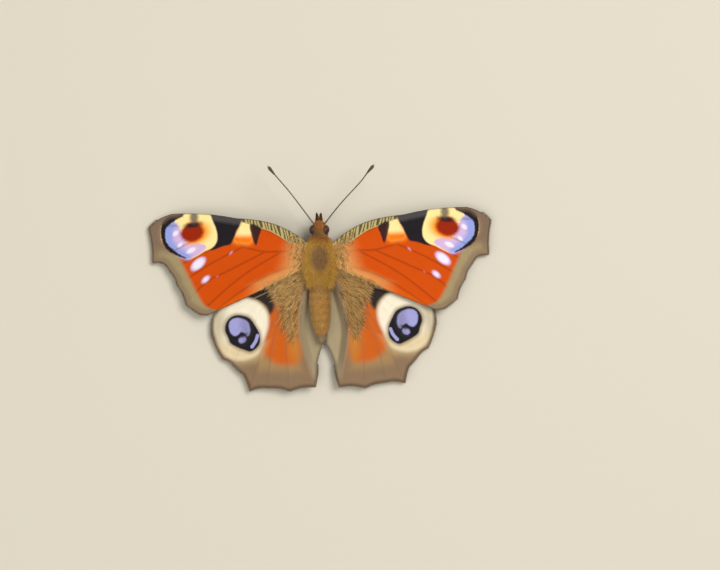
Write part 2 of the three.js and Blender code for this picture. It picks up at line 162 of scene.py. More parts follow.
# A left leg of each pair, from its hip to its claws
LEGS = {
    "fore": [(0.95, -2.2, 2.3), (1.0, -3.9, 1.75), (1.05, -5.2, 2.15), (1.0, -4.9, 3.0)],
    "mid": [(1.35, -0.4, 2.6), (2.2, -1.0, 1.6), (4.9, -2.9, 2.7), (6.6, -4.5, 1.2), (7.3, -5.1, 0.2),
            (8.3, -6.0, 0.16), (9.4, -7.0, 0.14)],
    "hind": [(1.25, 1.9, 2.6), (2.1, 2.5, 1.5), (4.4, 5.0, 2.4), (5.8, 7.6, 1.1), (6.3, 8.5, 0.2),
             (6.9, 9.8, 0.16), (7.6, 11.2, 0.14)],
}
# How thick a limb is along its length: how far along, and its radius
FEELER_RADII = [(0, 0.16), (0.04, 0.2), (0.07, 0.13), (0.5, 0.11), (0.84, 0.12), (0.9, 0.24), (0.95, 0.34),
                (1, 0.26)]
WALKING_RADII = [(0, 0.34), (0.12, 0.36), (0.2, 0.24), (0.3, 0.3), (0.46, 0.2), (0.52, 0.17), (0.7, 0.14),
                 (0.74, 0.17), (0.8, 0.12), (0.82, 0.14), (0.88, 0.11), (0.9, 0.13), (0.95, 0.1),
                 (0.99, 0.13)]
BRUSH_RADII = [(0, 0.28), (0.4, 0.3), (0.7, 0.26), (1, 0.18)]
PALP_RADII = [(0, 0.2), (0.35, 0.24), (0.7, 0.17), (1, 0.05)]
TONGUE_RADII = [(0, 0.1), (0.7, 0.085), (1, 0.05)]
# How far along a leg its joints are
WALKING_JOINTS = [0.2, 0.5, 0.74, 0.82, 0.9, 0.95]
BRUSH_JOINTS = [0.5]
# The tongue's coil: its middle, its turns and how wide they start and end
TONGUE_MIDDLE = (0.15, -6.55, 2.75)
TONGUE_TURNS = 2.6
TONGUE_WIDE, TONGUE_NARROW = 0.62, 0.16

# How far an eye sits inwards and rearwards of its solid, to match its place from above
EYE_INWARDS = 0.12
EYE_REARWARDS = 0.25

# A tuft has three corners round its root, three round its middle and one at its tip
TUFT_SIDES = 3
TUFT_CORNERS = 7
TUFT_FACES = np.array([(0, 1, 4), (0, 4, 3), (1, 2, 5), (1, 5, 4), (2, 0, 3), (2, 3, 5),
                       (3, 4, 6), (4, 5, 6), (5, 3, 6), (2, 1, 0)])
TUFT_WAIST = 0.75
# Half the side of a tuft's patch on the unwrap of the skin it stands on
TUFT_PATCH = 0.0015
# A little over one turn in radians, so that no patch reaches over the seam of a limb's unwrap
PAST_A_TURN = 6.3

# Sockets of a Mix node that blends colours
MIX_FACTOR, MIX_A, MIX_B, MIX_RESULT = 0, 6, 7, 2

# The stage: each lamp's name, place and side in metres, and watts
LAMPS = (
    ("key", (-0.35, -0.25, 0.75), 0.4, 5.6),
    ("fill", (0.45, 0.3, 0.6), 0.6, 1.5),
    ("top", (0.0, 0.1, 0.9), 0.8, 2.3),
)
SKY_COLOUR = (1, 0.98, 0.95, 1)
SKY_STRENGTH = 0.3
FLOOR_SIDE = 3.0
FLOOR_COLOUR = (0.60, 0.555, 0.45, 1)

# The camera: the picture's width and middle, where and how large the animal is in it,
# and the camera's height over the level at which that size is exact
PICTURE_WIDTH = 720
PICTURE_MIDDLE = (360, 285)
THORAX_IN_PICTURE = (320, 260)
PIXELS_PER_MM = 5.36
CAMERA_HEIGHT = 400.0
SCALE_LEVEL = 3.2
SENSOR_WIDTH = 36.0
NEAREST_SEEN = 0.01


def measure(name, description, default):
    """A length whose default is given in millimetres."""
    return FloatProperty(name=name, description=description, default=default * MM, unit="LENGTH", precision=6)


def tally(name, description, default):
    """How many of something there are."""
    return IntProperty(name=name, description=description, default=default, min=1)


class ButterflySizes(bpy.types.PropertyGroup):
    """Sizes and numbers of the finer forms."""

    sheet_step: measure("Wing mesh", "Side of a face of a wing", 0.15)
    membrane: measure("Membrane", "Thickness of a wing between its veins", 0.13)
    vein_rise: measure("Vein height", "Height of a vein on each face of a wing", 0.07)
    vein_half: measure("Vein width", "Half width of a vein", 0.17)
    fur_length: measure("Fur length", "Length of the fur on the thorax", 1.15)
    fur_half: measure("Tuft width", "Half width of a tuft of fur", 0.032)
    thorax_tufts: tally("Thorax tufts", "Tufts of fur on the thorax", 15000)
    shoulder_tufts: tally("Shoulder tufts", "Long tufts over the wing roots", 2600)
    abdomen_tufts: tally("Abdomen tufts", "Tufts of fur on the abdomen", 13000)
    head_tufts: tally("Head tufts", "Tufts of fur on the head", 4500)
    wing_hairs: tally("Wing hairs", "Long hairs at the root of a hindwing", 2600)


def millimetres(name):
    """One of those sizes, in millimetres."""
    return getattr(bpy.context.scene.butterfly_sizes, name) / MM


def paint(name, description, *srgb):
    """A colour property whose default is given as 0 to 255 sRGB values."""
    linear = [((value / 255 + 0.055) / 1.055) ** 2.4 if value > 10 else value / 255 / 12.92 for value in srgb]
    return FloatVectorProperty(name=name, description=description, subtype="COLOR", size=4, min=0, max=1,
                               default=(*linear, 1))


class ButterflyColours(bpy.types.PropertyGroup):
    """Colours of the scales, the fur and the hard parts."""

    red: paint("Red", "Brick red of the forewing", 204, 76, 0)
    ember: paint("Ember", "Darker red along the veins", 130, 44, 6)
    amber: paint("Amber", "Yellow glow inside the forewing's eyespot", 246, 176, 70)
    honey: paint("Honey", "Golden brown inner part of the hindwing", 188, 126, 52)
    mauve: paint("Mauve", "Shaded root of the pale flap", 140, 108, 84)
    flame: paint("Flame", "Bright orange round the cream marks", 240, 120, 10)
    cream: paint("Cream", "Cream of the forewing's marks", 255, 228, 154)
    black: paint("Black", "Black scales", 30, 26, 30)
    slate: paint("Slate", "Black scales dusted with grey", 84, 80, 80)
    lilac: paint("Lilac", "Lilac field of the forewing's eyespot", 208, 178, 216)
    blue: paint("Blue", "Light blue rim of that field", 146, 158, 220)
    white: paint("White", "White dots", 236, 232, 244)
    maroon: paint("Maroon", "Dark red pupil of the forewing's eyespot", 150, 36, 4)
    buff: paint("Buff", "Ground of the barred front edge", 186, 168, 108)
    border: paint("Border", "Beige-brown border", 160, 142, 102)
    umber: paint("Umber", "Dark purple-brown border", 126, 103, 84)
    hem: paint("Hem", "Dark line on the very edge", 70, 60, 50)
    gold: paint("Gold", "Golden wash at the wing roots", 216, 164, 96)
    orange: paint("Orange", "Orange field of the hindwing", 200, 94, 24)
    tan: paint("Tan", "Brown margin of the hindwing", 162, 130, 86)
    ivory: paint("Ivory", "Pale ring of the hindwing's eyespot", 240, 230, 204)
    sand: paint("Sand", "Sandy fade of that ring", 214, 190, 140)
    violet: paint("Violet", "Violet-blue of the hindwing's eyespot", 160, 158, 210)
    ash: paint("Ash", "Pale grey flap beside the abdomen", 166, 150, 118)
    soot: paint("Soot", "Blackish underside", 44, 36, 32)
    bark: paint("Bark", "Paler streaks of the underside", 86, 72, 60)
    fur_olive: paint("Olive fur", "Fur of the thorax", 236, 184, 84)
    fur_brown: paint("Brown fur", "Fur on the middle of the thorax", 184, 142, 94)
    fur_gold: paint("Golden fur", "Fur of the abdomen", 240, 186, 100)
    fur_straw: paint("Straw hair", "Long hair over the wing roots", 255, 214, 142)
    fur_rust: paint("Rusty fur", "Fur of the collar and head", 204, 130, 58)
    fur_ash: paint("Ashen fur", "Fur on the tip of the abdomen", 206, 186, 150)
    chitin: paint("Chitin", "Dark hard parts", 40, 30, 26)
    horn: paint("Horn", "Pale rings and joints", 190, 165, 120)
    eye: paint("Eye", "Compound eyes", 116, 70, 50)


# Lines and fields on the flat wing

def spline(knots, count, closed=False):
    """Points along a smooth curve through the knots."""
    knots = np.array(knots, float)
    if closed:
        knots = np.vstack([knots[-1], knots, knots[:2]])
    else:
        knots = np.vstack([2 * knots[0] - knots[1], knots, 2 * knots[-1] - knots[-2]])
    spans = len(knots) - 3
    at = np.linspace(0, spans, count)
    k = np.minimum(at.astype(int), spans - 1)
    t = (at - k)[:, None]
    a, b, c, d = knots[k], knots[k + 1], knots[k + 2], knots[k + 3]
    square = (2 * a - 5 * b + 4 * c - d) * t ** 2
    cube = (3 * b - a - 3 * c + d) * t ** 3
    return 0.5 * (2 * b + (c - a) * t + square + cube)


def edge_line(wing, step=0.1):
    """The whole edge of a wing, as a closed line of close points."""
    points = []
    ends = np.array(wing["edge"])
    for here, there in zip(ends, np.roll(ends, -1, axis=0)):
        chord = there[:2] - here[:2]
        length = np.hypot(*chord)
        outwards = np.array([chord[1], -chord[0]]) / length
        t = np.arange(0, 1, step / length)[:, None]
        points.append(here[:2] + chord * t + outwards * here[2] * np.sin(math.pi * t))
    return np.vstack(points)


def nearest_on(points, line, closed=False):
    """The distance from each point to a line, and the nearest place on it."""
    best = np.full(len(points), np.inf)
    place = np.zeros_like(points)
    line = np.vstack([line, line[:1]]) if closed else line
    for a, b in zip(line[:-1], line[1:]):
        along = b - a
        t = np.clip(((points - a) @ along) / max(along @ along, 1e-12), 0, 1)
        spot = a + t[:, None] * along
        distance = np.hypot(*(points - spot).T)
        closer = distance < best
        best[closer] = distance[closer]
        place[closer] = spot[closer]
    return best, place


def within(points, line):
    """Which points lie inside a closed line."""
    result = np.zeros(len(points), bool)
    x, y = points.T
    for a, b in zip(line, np.roll(line, -1, axis=0)):
        if a[1] != b[1]:
            crossing = a[0] + (b[0] - a[0]) * (y - a[1]) / (b[1] - a[1])
            result ^= ((a[1] > y) != (b[1] > y)) & (x < crossing)
    return result


def patch(points, knots, rounded=True):
    """How deep each point lies inside a patch drawn through the knots, under 0 outside."""
    line = spline(knots, 12 * len(knots), closed=True)[:-1] if rounded else np.array(knots, float)
    distance, _ = nearest_on(points, line, closed=True)
    return np.where(within(points, line), distance, -distance)


def oval(points, centre, half, tilt):
    """How deep each point lies inside an oval, in units of about a millimetre."""
    angle = math.radians(tilt)
    turn = np.array([[math.cos(angle), -math.sin(angle)], [math.sin(angle), math.cos(angle)]])
    local = (points - np.array(centre)) @ turn / np.array(half)
    return (1 - np.hypot(*local.T)) * min(half)


def line_band(points, knots, half):
    """How deep each point lies inside a band along a line."""
    return half - nearest_on(points, spline(knots, 12 * len(knots)))[0]


def smooth(value):
    """A soft step from 0 to 1."""
    value = np.clip(value, 0, 1)
    return value * value * (3 - 2 * value)


def vein_lines(wing):
    """Each vein of a wing as close points."""
    return [spline(knots, 14 * len(knots)) for knots in wing["veins"].values()]


def vein_distance(points, wing):
    """How far each point is from the nearest vein."""
    return np.min([nearest_on(points, line)[0] for line in vein_lines(wing)], axis=0)


def flap_dip(points, wing):
    """How far a hindwing's inner flap bends down, and how far inside its crease each point is."""
    crease = spline(wing["crease"], 200)
    inwards = np.interp(points[:, 1], crease[:, 1], crease[:, 0]) - points[:, 0]
    opens = smooth((points[:, 1] - 1.5) / 3) * (1 - 0.6 * smooth((points[:, 1] - 15) / 7))
    return wing["flap_drop"] * opens * smooth(inwards / wing["flap_width"]), inwards


def wing_level(points, wing, x, y):
    """The height of the middle of a wing's membrane."""
    out = np.clip((np.abs(x) - HINGE_REACH) / (WING_REACH - HINGE_REACH), 0, 1.1)
    level = HINGE_LEVEL - TIP_DROP * out ** TIP_BEND + wing["lift"]
    if "crease" in wing:
        level = level - flap_dip(points, wing)[0] - REAR_DROP * np.maximum(0, y)
    return level


def set_on_wing(points, wing, side):
    """Where flat points of a wing are on the animal, in millimetres."""
    turn = math.radians(wing["turn"][side])
    u, v = points.T
    x = wing["hinge"][0] + u * math.cos(turn) + v * math.sin(turn)
    y = wing["hinge"][1] - u * math.sin(turn) + v * math.cos(turn)
    return np.column_stack([SIDES[side] * x, y, wing_level(points, wing, x, y)])


# Markings, each a field over the flat wing that is over 0 inside the mark

def forewing_marks(p):
    """The markings of a forewing, as they lie on it."""
    u, v = p.T
    front = spline([(0.4, 0.9), (2.8, 0.5), (4.7, -0.6), (6.5, -1.6), (8.4, -2.2), (10.3, -2.85),
                    (13, -3.6)], 80)
    strip = np.interp(u, front[:, 0], front[:, 1]) - v
    ocellus = patch(p, [(23.3, -4.6), (25.3, -4.3), (26.4, -3.5), (27.0, -2.4), (27.1, -1.0), (26.8, 0.3),
                        (26.0, 1.5), (24.9, 2.4), (23.4, 3.2), (21.8, 3.65), (20.3, 3.05), (18.7, 2.1),
                        (17.4, 1.5), (16.6, 0.6), (16.35, -0.6), (16.6, -2.0), (17.2, -3.5), (18.1, -5.2),
                        (20.5, -5.6)])
    rim = spline([(23.2, -4.75), (24.7, -4.25), (25.8, -3.5), (26.5, -2.4), (26.65, -1.2), (26.45, 0.1),
                  (25.8, 1.3), (24.7, 2.2), (23.4, 2.95), (22.3, 3.4)], 90)
    reach, spot = nearest_on(p, rim)
    width = np.interp(spot[:, 1], [-4.7, -4.2, -3.4, -2.4, 0, 2, 3.4],
                      [0.45, 0.75, 0.75, 0.5, 0.38, 0.4, 0.12])
    inner = spline([(23.6, 2.9), (22.6, 5.2), (21.8, 6.7), (21.1, 8.2), (20.3, 9.7), (19.6, 11.0),
                    (18.7, 12.2), (17.4, 12.9), (15.8, 13.2)], 80)
    outwards = np.interp(v, inner[:, 1], inner[:, 0])
    border = np.where(v > 2.9, u - outwards, -ocellus)
    border = np.where((u > 22.8) | (v > 2.9), border, -1.0)
    border = np.maximum(border, np.where((v < -3.6) & (u > 22.6), -ocellus, -1.0))
    sway = 1.3 * np.sin(1.9 * u) + 0.9 * np.sin(4.3 * u + 2.2 * v)
    ticks = np.cos(2 * math.pi * (u + 0.25 * v) / 0.62 + sway)
    return {
        "strip": np.minimum(strip, 12.0 - u),
        "ticks": np.where(strip > 0.1, 0.3 * ticks - 0.04, -1),
        "wedge": patch(p, [(10.2, -2.9), (8.2, -2.2), (8.55, -0.6), (9.1, 1.0), (9.75, -0.4)]),
        "creampatch": patch(p, [(12.1, -4.4), (10.1, -4.4), (9.95, -2.2), (9.8, -0.6), (10.3, 0.5),
                                (11.6, 0.55), (12.9, 0.3), (13.3, -0.6), (12.5, -2.0)]),
        "bar": patch(p, [(12.0, -5.2), (12.05, -3.0), (12.7, -1.7), (13.2, -0.4), (13.9, 0.8), (15.2, 1.15),
                         (16.8, 1.75), (17.8, 1.9), (17.2, 0.8), (16.8, -0.6), (16.9, -2.0), (17.4, -3.4),
                         (18.2, -5.2)]),
        "costal": 1.15 - nearest_on(p, edge_line(FOREWING, 0.4)[:80])[0],
        "ocellus": ocellus,
        "rim": np.minimum(width - reach, ocellus + 0.25),
        "field": patch(p, [(26.2, -3.4), (26.6, -1.5), (26.2, 0.4), (25.3, 1.7), (23.7, 2.95), (22.0, 3.6),
                           (20.3, 2.85), (18.7, 1.75), (18.6, 1.0), (20.2, 0.4), (22.0, -0.5), (23.1, -1.5),
                           (23.6, -2.4), (24.6, -3.4)]),
        "blue": np.interp(v, [-4, -1, 1.5, 3.4], [2.0, 1.9, 1.4, 0.9]) - reach,
        "pupil": oval(p, (21.15, -1.35), (2.2, 1.65), 12),
        "halo": oval(p, (20.6, -1.35), (3.0, 2.1), 12),
        "crown": oval(p, (20.9, -2.85), (1.6, 0.5), 8),
        "gap": oval(p, (20.75, -4.2), (0.8, 1.15), 0),
        "dots": np.max([oval(p, (24.25, -1.25), (0.62, 0.4), 45), oval(p, (23.4, 0.9), (0.55, 0.32), 40),
                        oval(p, (21.3, 1.95), (0.95, 0.45), 27)], axis=0),
        "spots": np.max([oval(p, (19.95, 4.45), (1.75, 0.9), 41), oval(p, (18.55, 7.35), (0.95, 0.52), 42),
                         oval(p, (13.75, 2.4), (0.42, 0.16), 48) - 0.05,
                         oval(p, (16.35, 6.8), (0.3, 0.12), 45) - 0.1], axis=0),
        "border": border,
        "apex": 2.0 - v,
        "lip": 1.3 - nearest_on(p, edge_line(FOREWING, 0.3), closed=True)[0],
        "root": 5.5 - u + 0.25 * v,
        "rear": patch(p, [(-1, 5.6), (6, 6.8), (12, 10.0), (17.4, 13.2), (16, 15), (4, 8.5), (-1, 6.4)],
                      rounded=False),
        "vein": 0.17 - vein_distance(p, FOREWING),
    }


def hindwing_marks(p):
    """The markings of a hindwing, as they lie on it."""
    u, v = p.T
    bar = line_band(p, [(9.45, 12.6), (9.8, 13.7), (10.5, 14.75)], 0.3)
    blob = patch(p, [(14.85, 10.75), (14.5, 9.85), (13.5, 9.35), (12.3, 9.5), (11.25, 10.15),
                     (10.85, 11.35), (10.95, 12.3), (11.35, 12.7), (11.95, 12.2), (12.55, 11.95),
                     (13.1, 12.5), (13.85, 12.7), (14.55, 12.05)])
    lobes = oval(p, (12.3, 13.4), (0.75, 0.6), 40)
    return {
        "orange": patch(p, [(7.2, 8.4), (8.0, 11.5), (8.7, 14.4), (8.0, 16.4), (5.4, 18.0), (1.7, 17.6),
                            (0.9, 14.4), (1.3, 11.0), (2.4, 6.5), (5.0, 6.2)]),
        "ring": patch(p, [(12.7, 5.5), (10.8, 5.8), (9.3, 6.4), (8.2, 7.4), (7.5, 8.7), (7.4, 10.4),
                          (7.8, 12.2), (8.7, 14.6), (9.6, 16.2), (12.0, 17.2), (14.5, 16.9), (16.3, 15.4),
                          (17.3, 13.0), (17.9, 10.4), (17.6, 7.9), (15.6, 6.3)]),
        "faded": u - 15.6 - 0.03 * (v - 10) ** 2,
        "low": v - 14.2,
        "crescent": patch(p, [(12.2, 4.6), (10.0, 3.2), (8.0, 3.6), (7.0, 5.0), (6.3, 6.6), (6.5, 8.0),
                              (7.2, 8.6), (7.9, 7.2), (9.3, 6.2), (10.9, 5.7)]),
        "vane": line_band(p, [(10.4, 5.8), (8.4, 4.9), (6.2, 3.9)], 0.09),
        "eye": patch(p, [(13.4, 8.95), (11.75, 9.15), (10.8, 9.7), (9.9, 11.0), (9.3, 12.1), (9.1, 13.3),
                         (9.3, 14.3), (9.9, 15.0), (10.8, 15.5), (11.9, 15.2), (13.2, 14.7), (14.4, 14.0),
                         (14.9, 12.9), (15.4, 11.8), (15.3, 10.6), (14.6, 9.5)]),
        "blob": np.maximum(blob, lobes),
        "notch": oval(p, (12.2, 12.6), (0.9, 0.4), 20),
        "bar": bar,
        "margin": 3.2 - nearest_on(p, edge_line(HINDWING, 0.3)[60:])[0],
        "lip": 0.9 - nearest_on(p, edge_line(HINDWING, 0.3), closed=True)[0],
        "root": 6.0 - np.hypot(u - 1.0, v),
        "honey": patch(p, [(0.6, 2), (5.6, 3.6), (4.6, 8), (3.9, 12), (3.2, 16), (1.6, 17.6), (1.2, 14),
                           (1.9, 9)]),
        "front": 4.0 - v - 0.12 * u,
        "flap": flap_dip(p, HINDWING)[1],
        "vein": 0.17 - vein_distance(p, HINDWING),
    }


def forewing_fields(points):
    """All the fields that the forewing's finish reads."""
    marks = forewing_marks(points)
    u, v = points.T
    marks["slate"] = np.minimum(marks.pop("costal"), marks["bar"] + 0.1)
    marks["apex"] = np.minimum(marks["apex"], np.minimum(marks["border"] + 0.3, 1.6 * (u - 24.5)))
    marks["blue"] = np.minimum(marks["blue"], marks["field"])
    marks["halo"] = np.min([marks["halo"], marks["ocellus"] - 0.5, 0.8 * (22.0 - u)], axis=0)
    marks["glow"] = np.minimum(marks["pupil"] + 0.3, 0.8 * (22.0 - u))
    marks["flamewash"] = np.minimum(marks["creampatch"] + 0.4, 1.2 * (v + 0.75))
    marks["spotcores"] = marks["spots"] - 0.22
    marks["edge"] = np.minimum(marks["lip"] - 0.2, marks["border"] + 0.2)
    marks["lip"] = marks["lip"] - 1.15
    marks["root"] = marks["root"] - 3.2
    marks["rearwash"] = np.minimum(marks["rear"] + 0.5, 0.35 * (9.5 - u))
    marks["fieldvein"] = np.minimum(marks["vein"], marks["field"])
    return marks


def hindwing_fields(points):
    """All the fields that the hindwing's finish reads."""
    marks = hindwing_marks(points)
    u, v = points.T
    marks["faded"] = np.minimum(marks["faded"], marks["ring"] + 0.4)
    marks["low"] = np.minimum(marks["low"], marks["ring"] + 0.3)
    marks["halfshade"] = marks["eye"] + 0.5
    marks["eye"] = marks["eye"] + 0.12
    marks["shadow"] = np.minimum(marks["flap"], 4.5 - v)
    marks["dusk"] = np.minimum(marks["blob"], 12.4 - u)
    # Painted shade: a darker line along the crease where the flap folds down
    marks["groove"] = 0.35 - np.abs(marks["flap"] - 0.1)
    marks["lip"] = marks["lip"] - 0.55
    return marks


# Mesh helpers

def start(name, add, **sizes):
    """A new primitive, alone selected and active, under its name."""
    if bpy.context.object and bpy.context.object.mode != "OBJECT":
        bpy.ops.object.mode_set(mode="OBJECT")
    bpy.ops.object.select_all(action="DESELECT")
    add(**sizes)
    piece = bpy.context.active_object
    piece.name = name
    piece.data.name = name
    return piece


def corners_of(piece):
    """All corners of a mesh, one row for each."""
    values = np.empty(len(piece.data.vertices) * 3)
    piece.data.vertices.foreach_get("co", values)
    return values.reshape(-1, 3)


def move_corners(piece, values):
    """Puts the corners of a mesh elsewhere."""
    piece.data.vertices.foreach_set("co", np.ascontiguousarray(values, float).ravel())
    piece.data.update()


def settle(piece, points):
    """Gives a piece its final corners, from millimetres on the animal."""
    move_corners(piece, (points + SHIFT) * MM)


def remove_where(piece, mask, kind):
    """Deletes the corners or faces that the mask marks."""
    data = piece.data
    for group in (data.vertices, data.edges, data.polygons):
        group.foreach_set("select", np.zeros(len(group), bool))
    chosen = data.vertices if kind == "VERT" else data.polygons
    chosen.foreach_set("select", mask)
    bpy.context.tool_settings.mesh_select_mode = (kind == "VERT", False, kind == "FACE")
    bpy.ops.object.mode_set(mode="EDIT")
    bpy.ops.mesh.delete(type=kind)
    bpy.ops.object.mode_set(mode="OBJECT")


def edit_all(piece, *steps):
    """Runs edit-mode operators on the whole of a piece."""
    bpy.ops.object.mode_set(mode="EDIT")
    bpy.ops.mesh.select_all(action="SELECT")
    for step in steps:
        step()
    bpy.ops.object.mode_set(mode="OBJECT")


def modify(piece, kind, **settings):
    """Adds a modifier with its settings and applies it."""
    bpy.ops.object.modifier_add(type=kind)
    modifier = piece.modifiers[-1]
    for key, value in settings.items():
        setattr(modifier, key, value)
    bpy.ops.object.modifier_apply(modifier=modifier.name)


def keep_value(piece, name, values):
    """Stores one number for each corner, for the materials to read."""
    attribute = piece.data.attributes.new(name, "FLOAT", "POINT")
    attribute.data.foreach_set("value", np.ascontiguousarray(values, np.float32))


def keep_uv(piece, name, per_corner):
    """Stores a UV map from one pair of numbers for each corner of the mesh."""
    layer = piece.data.uv_layers.new(name=name)
    loops = np.empty(len(piece.data.loops), int)
    piece.data.loops.foreach_get("vertex_index", loops)
    layer.data.foreach_set("uv", np.ascontiguousarray(per_corner[loops], np.float32).ravel())


def dress(piece, slot, nodes, *materials):
    """Finish, smooth shading, ride and replaced nodes of a piece."""
    if not piece.data.polygons:
        raise RuntimeError(f"{piece.name} has no faces")
    for material in materials:
        piece.data.materials.append(material)
    piece.data.polygons.foreach_set("use_smooth", np.ones(len(piece.data.polygons), bool))
    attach(piece, "root")
    if nodes:
        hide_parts(*nodes)


# Tufts

def unit(vectors):
    """The same directions, each of length 1."""
    return vectors / np.maximum(np.linalg.norm(vectors, axis=1, keepdims=True), 1e-9)


def tufts(name, roots, rise, lie, length, half, droop, uv, values, seed):
    """Many small pointed tufts in one mesh, each bent from the way it rises to the way it lies."""
    rng = np.random.default_rng(seed)
    count = len(roots)
    first = unit(rise)
    second = unit(rise * (1 - droop) + lie * droop)
    side = unit(np.cross(first, UP + 0.01 * rng.normal(size=(count, 3))))
    other = np.cross(first, side)
    length = length[:, None]
    half = half[:, None]
    angles = 2 * math.pi * np.arange(TUFT_SIDES) / TUFT_SIDES
    base = [roots + half * (math.cos(a) * side + math.sin(a) * other) for a in angles]
    middle_at = roots + first * length * 0.5
    middle = [middle_at + TUFT_WAIST * half * (math.cos(a) * side + math.sin(a) * other) for a in angles]
    tip = middle_at + second * length * 0.5
    corners = np.stack([*base, *middle, tip], axis=1).reshape(-1, 3)
    faces = (TUFT_FACES[None] + TUFT_CORNERS * np.arange(count)[:, None, None]).reshape(-1, 3)
    data = bpy.data.meshes.new(name)
    data.vertices.add(len(corners))
    data.loops.add(faces.size)
    data.polygons.add(len(faces))
    data.vertices.foreach_set("co", ((corners + SHIFT) * MM).ravel())
    data.loops.foreach_set("vertex_index", faces.ravel())
    data.polygons.foreach_set("loop_start", np.arange(0, faces.size, 3))
    data.update(calc_edges=True)
    piece = bpy.data.objects.new(name, data)
    bpy.context.scene.collection.objects.link(piece)
    around = np.array([(math.cos(a), math.sin(a)) for a in angles])
    spread = np.vstack([around, 0.6 * around, [(0, 0)]]) * TUFT_PATCH
    keep_uv(piece, "OFBake", (uv[:, None] + spread[None]).reshape(-1, 2))
    for key, value in values.items():
        keep_value(piece, key, np.repeat(value, TUFT_CORNERS))
    keep_value(piece, "shade", np.repeat(rng.random(count), TUFT_CORNERS))
    keep_value(piece, "tip", np.tile([0, 0, 0, 0.5, 0.5, 0.5, 1.0], count))
    return piece


def scatter(piece, count, seed):
    """Random places over a mesh, in millimetres on the animal, with the way out of it at each."""
    data = piece.data
    data.calc_loop_triangles()
    corners = corners_of(piece) / MM - SHIFT
    normals = np.empty(len(data.vertices) * 3)
    data.vertices.foreach_get("normal", normals)
    normals = normals.reshape(-1, 3)
    faces = np.empty(len(data.loop_triangles) * 3, int)
    data.loop_triangles.foreach_get("vertices", faces)
    faces = faces.reshape(-1, 3)
    # The faces of a ball come in an order that varies from run to run, so they are sorted
    faces = faces[np.lexsort(faces.T)]
    a, b, c = (corners[faces[:, k]] for k in range(3))
    area = np.linalg.norm(np.cross(b - a, c - a), axis=1)
    rng = np.random.default_rng(seed)
    chosen = rng.choice(len(faces), count, p=area / area.sum())
    r, s = rng.random(count), rng.random(count)
    over = r + s > 1
    r[over], s[over] = 1 - r[over], 1 - s[over]
    weights = np.column_stack([1 - r - s, r, s])
    places = sum(corners[faces[chosen, k]] * weights[:, k:k + 1] for k in range(3))
    outs = sum(normals[faces[chosen, k]] * weights[:, k:k + 1] for k in range(3))
    return places, unit(outs)


def on_unwrap(places):
    """Places from 0 to 1 each way, kept clear of the edge of an unwrap."""
    return 0.02 + 0.9 * places


def limb_uv(outs, along):
    """Where places on a limb lie on an unwrap of its skin, from the way out of it and how far along."""
    return on_unwrap(np.column_stack([np.arctan2(outs[:, 2], outs[:, 0]) / PAST_A_TURN + 0.5, along]))


# Shader helpers

def feed(tree, socket, value):
    """Links a socket to another one, or gives it a plain value."""
    if isinstance(value, bpy.types.NodeSocket):
        tree.links.new(value, socket)
    else:
        socket.default_value = value


def node(tree, kind, inputs=None, **settings):
    """A shader node with its settings and inputs."""
    made = tree.nodes.new(kind)
    for key, value in settings.items():
        setattr(made, key, value)
    for key, value in (inputs or {}).items():
        feed(tree, made.inputs[key], value)
    return made


def group_tree(name, inputs, outputs):
    """A new shader node group with named sockets, and its two end nodes."""
    tree = bpy.data.node_groups.new(name, "ShaderNodeTree")
    for label, kind, default in inputs:
        socket = tree.interface.new_socket(name=label, in_out="INPUT", socket_type=kind)
        if default is not None:
            socket.default_value = default
    for label, kind in outputs:
        tree.interface.new_socket(name=label, in_out="OUTPUT", socket_type=kind)
    return tree, tree.nodes.new("NodeGroupInput").outputs, tree.nodes.new("NodeGroupOutput").inputs


def use(tree, name, **inputs):
    """Places a node group in a material, and returns what it puts out."""
    made = node(tree, "ShaderNodeGroup", node_tree=bpy.data.node_groups[name])
    for key, value in inputs.items():
        feed(tree, made.inputs[key.replace("_", " ")], value)
    return made.outputs


def maths(tree, operation, *values):
    """One step of arithmetic on values."""
    made = node(tree, "ShaderNodeMath", operation=operation)
    for socket, value in zip(made.inputs, values):
        feed(tree, socket, value)
    return made.outputs[0]


def blend_colours(tree, factor, a, b, mode="MIX"):
    """Colour a, turned into b or laid over by b as far as the factor tells."""
    made = node(tree, "ShaderNodeMix", data_type="RGBA", blend_type=mode)
    for index, value in ((MIX_FACTOR, factor), (MIX_A, a), (MIX_B, b)):
        feed(tree, made.inputs[index], value)
    return made.outputs[MIX_RESULT]


def value_of(tree, name):
    """A number stored on the mesh."""
    return node(tree, "ShaderNodeAttribute", attribute_name=name).outputs["Fac"]


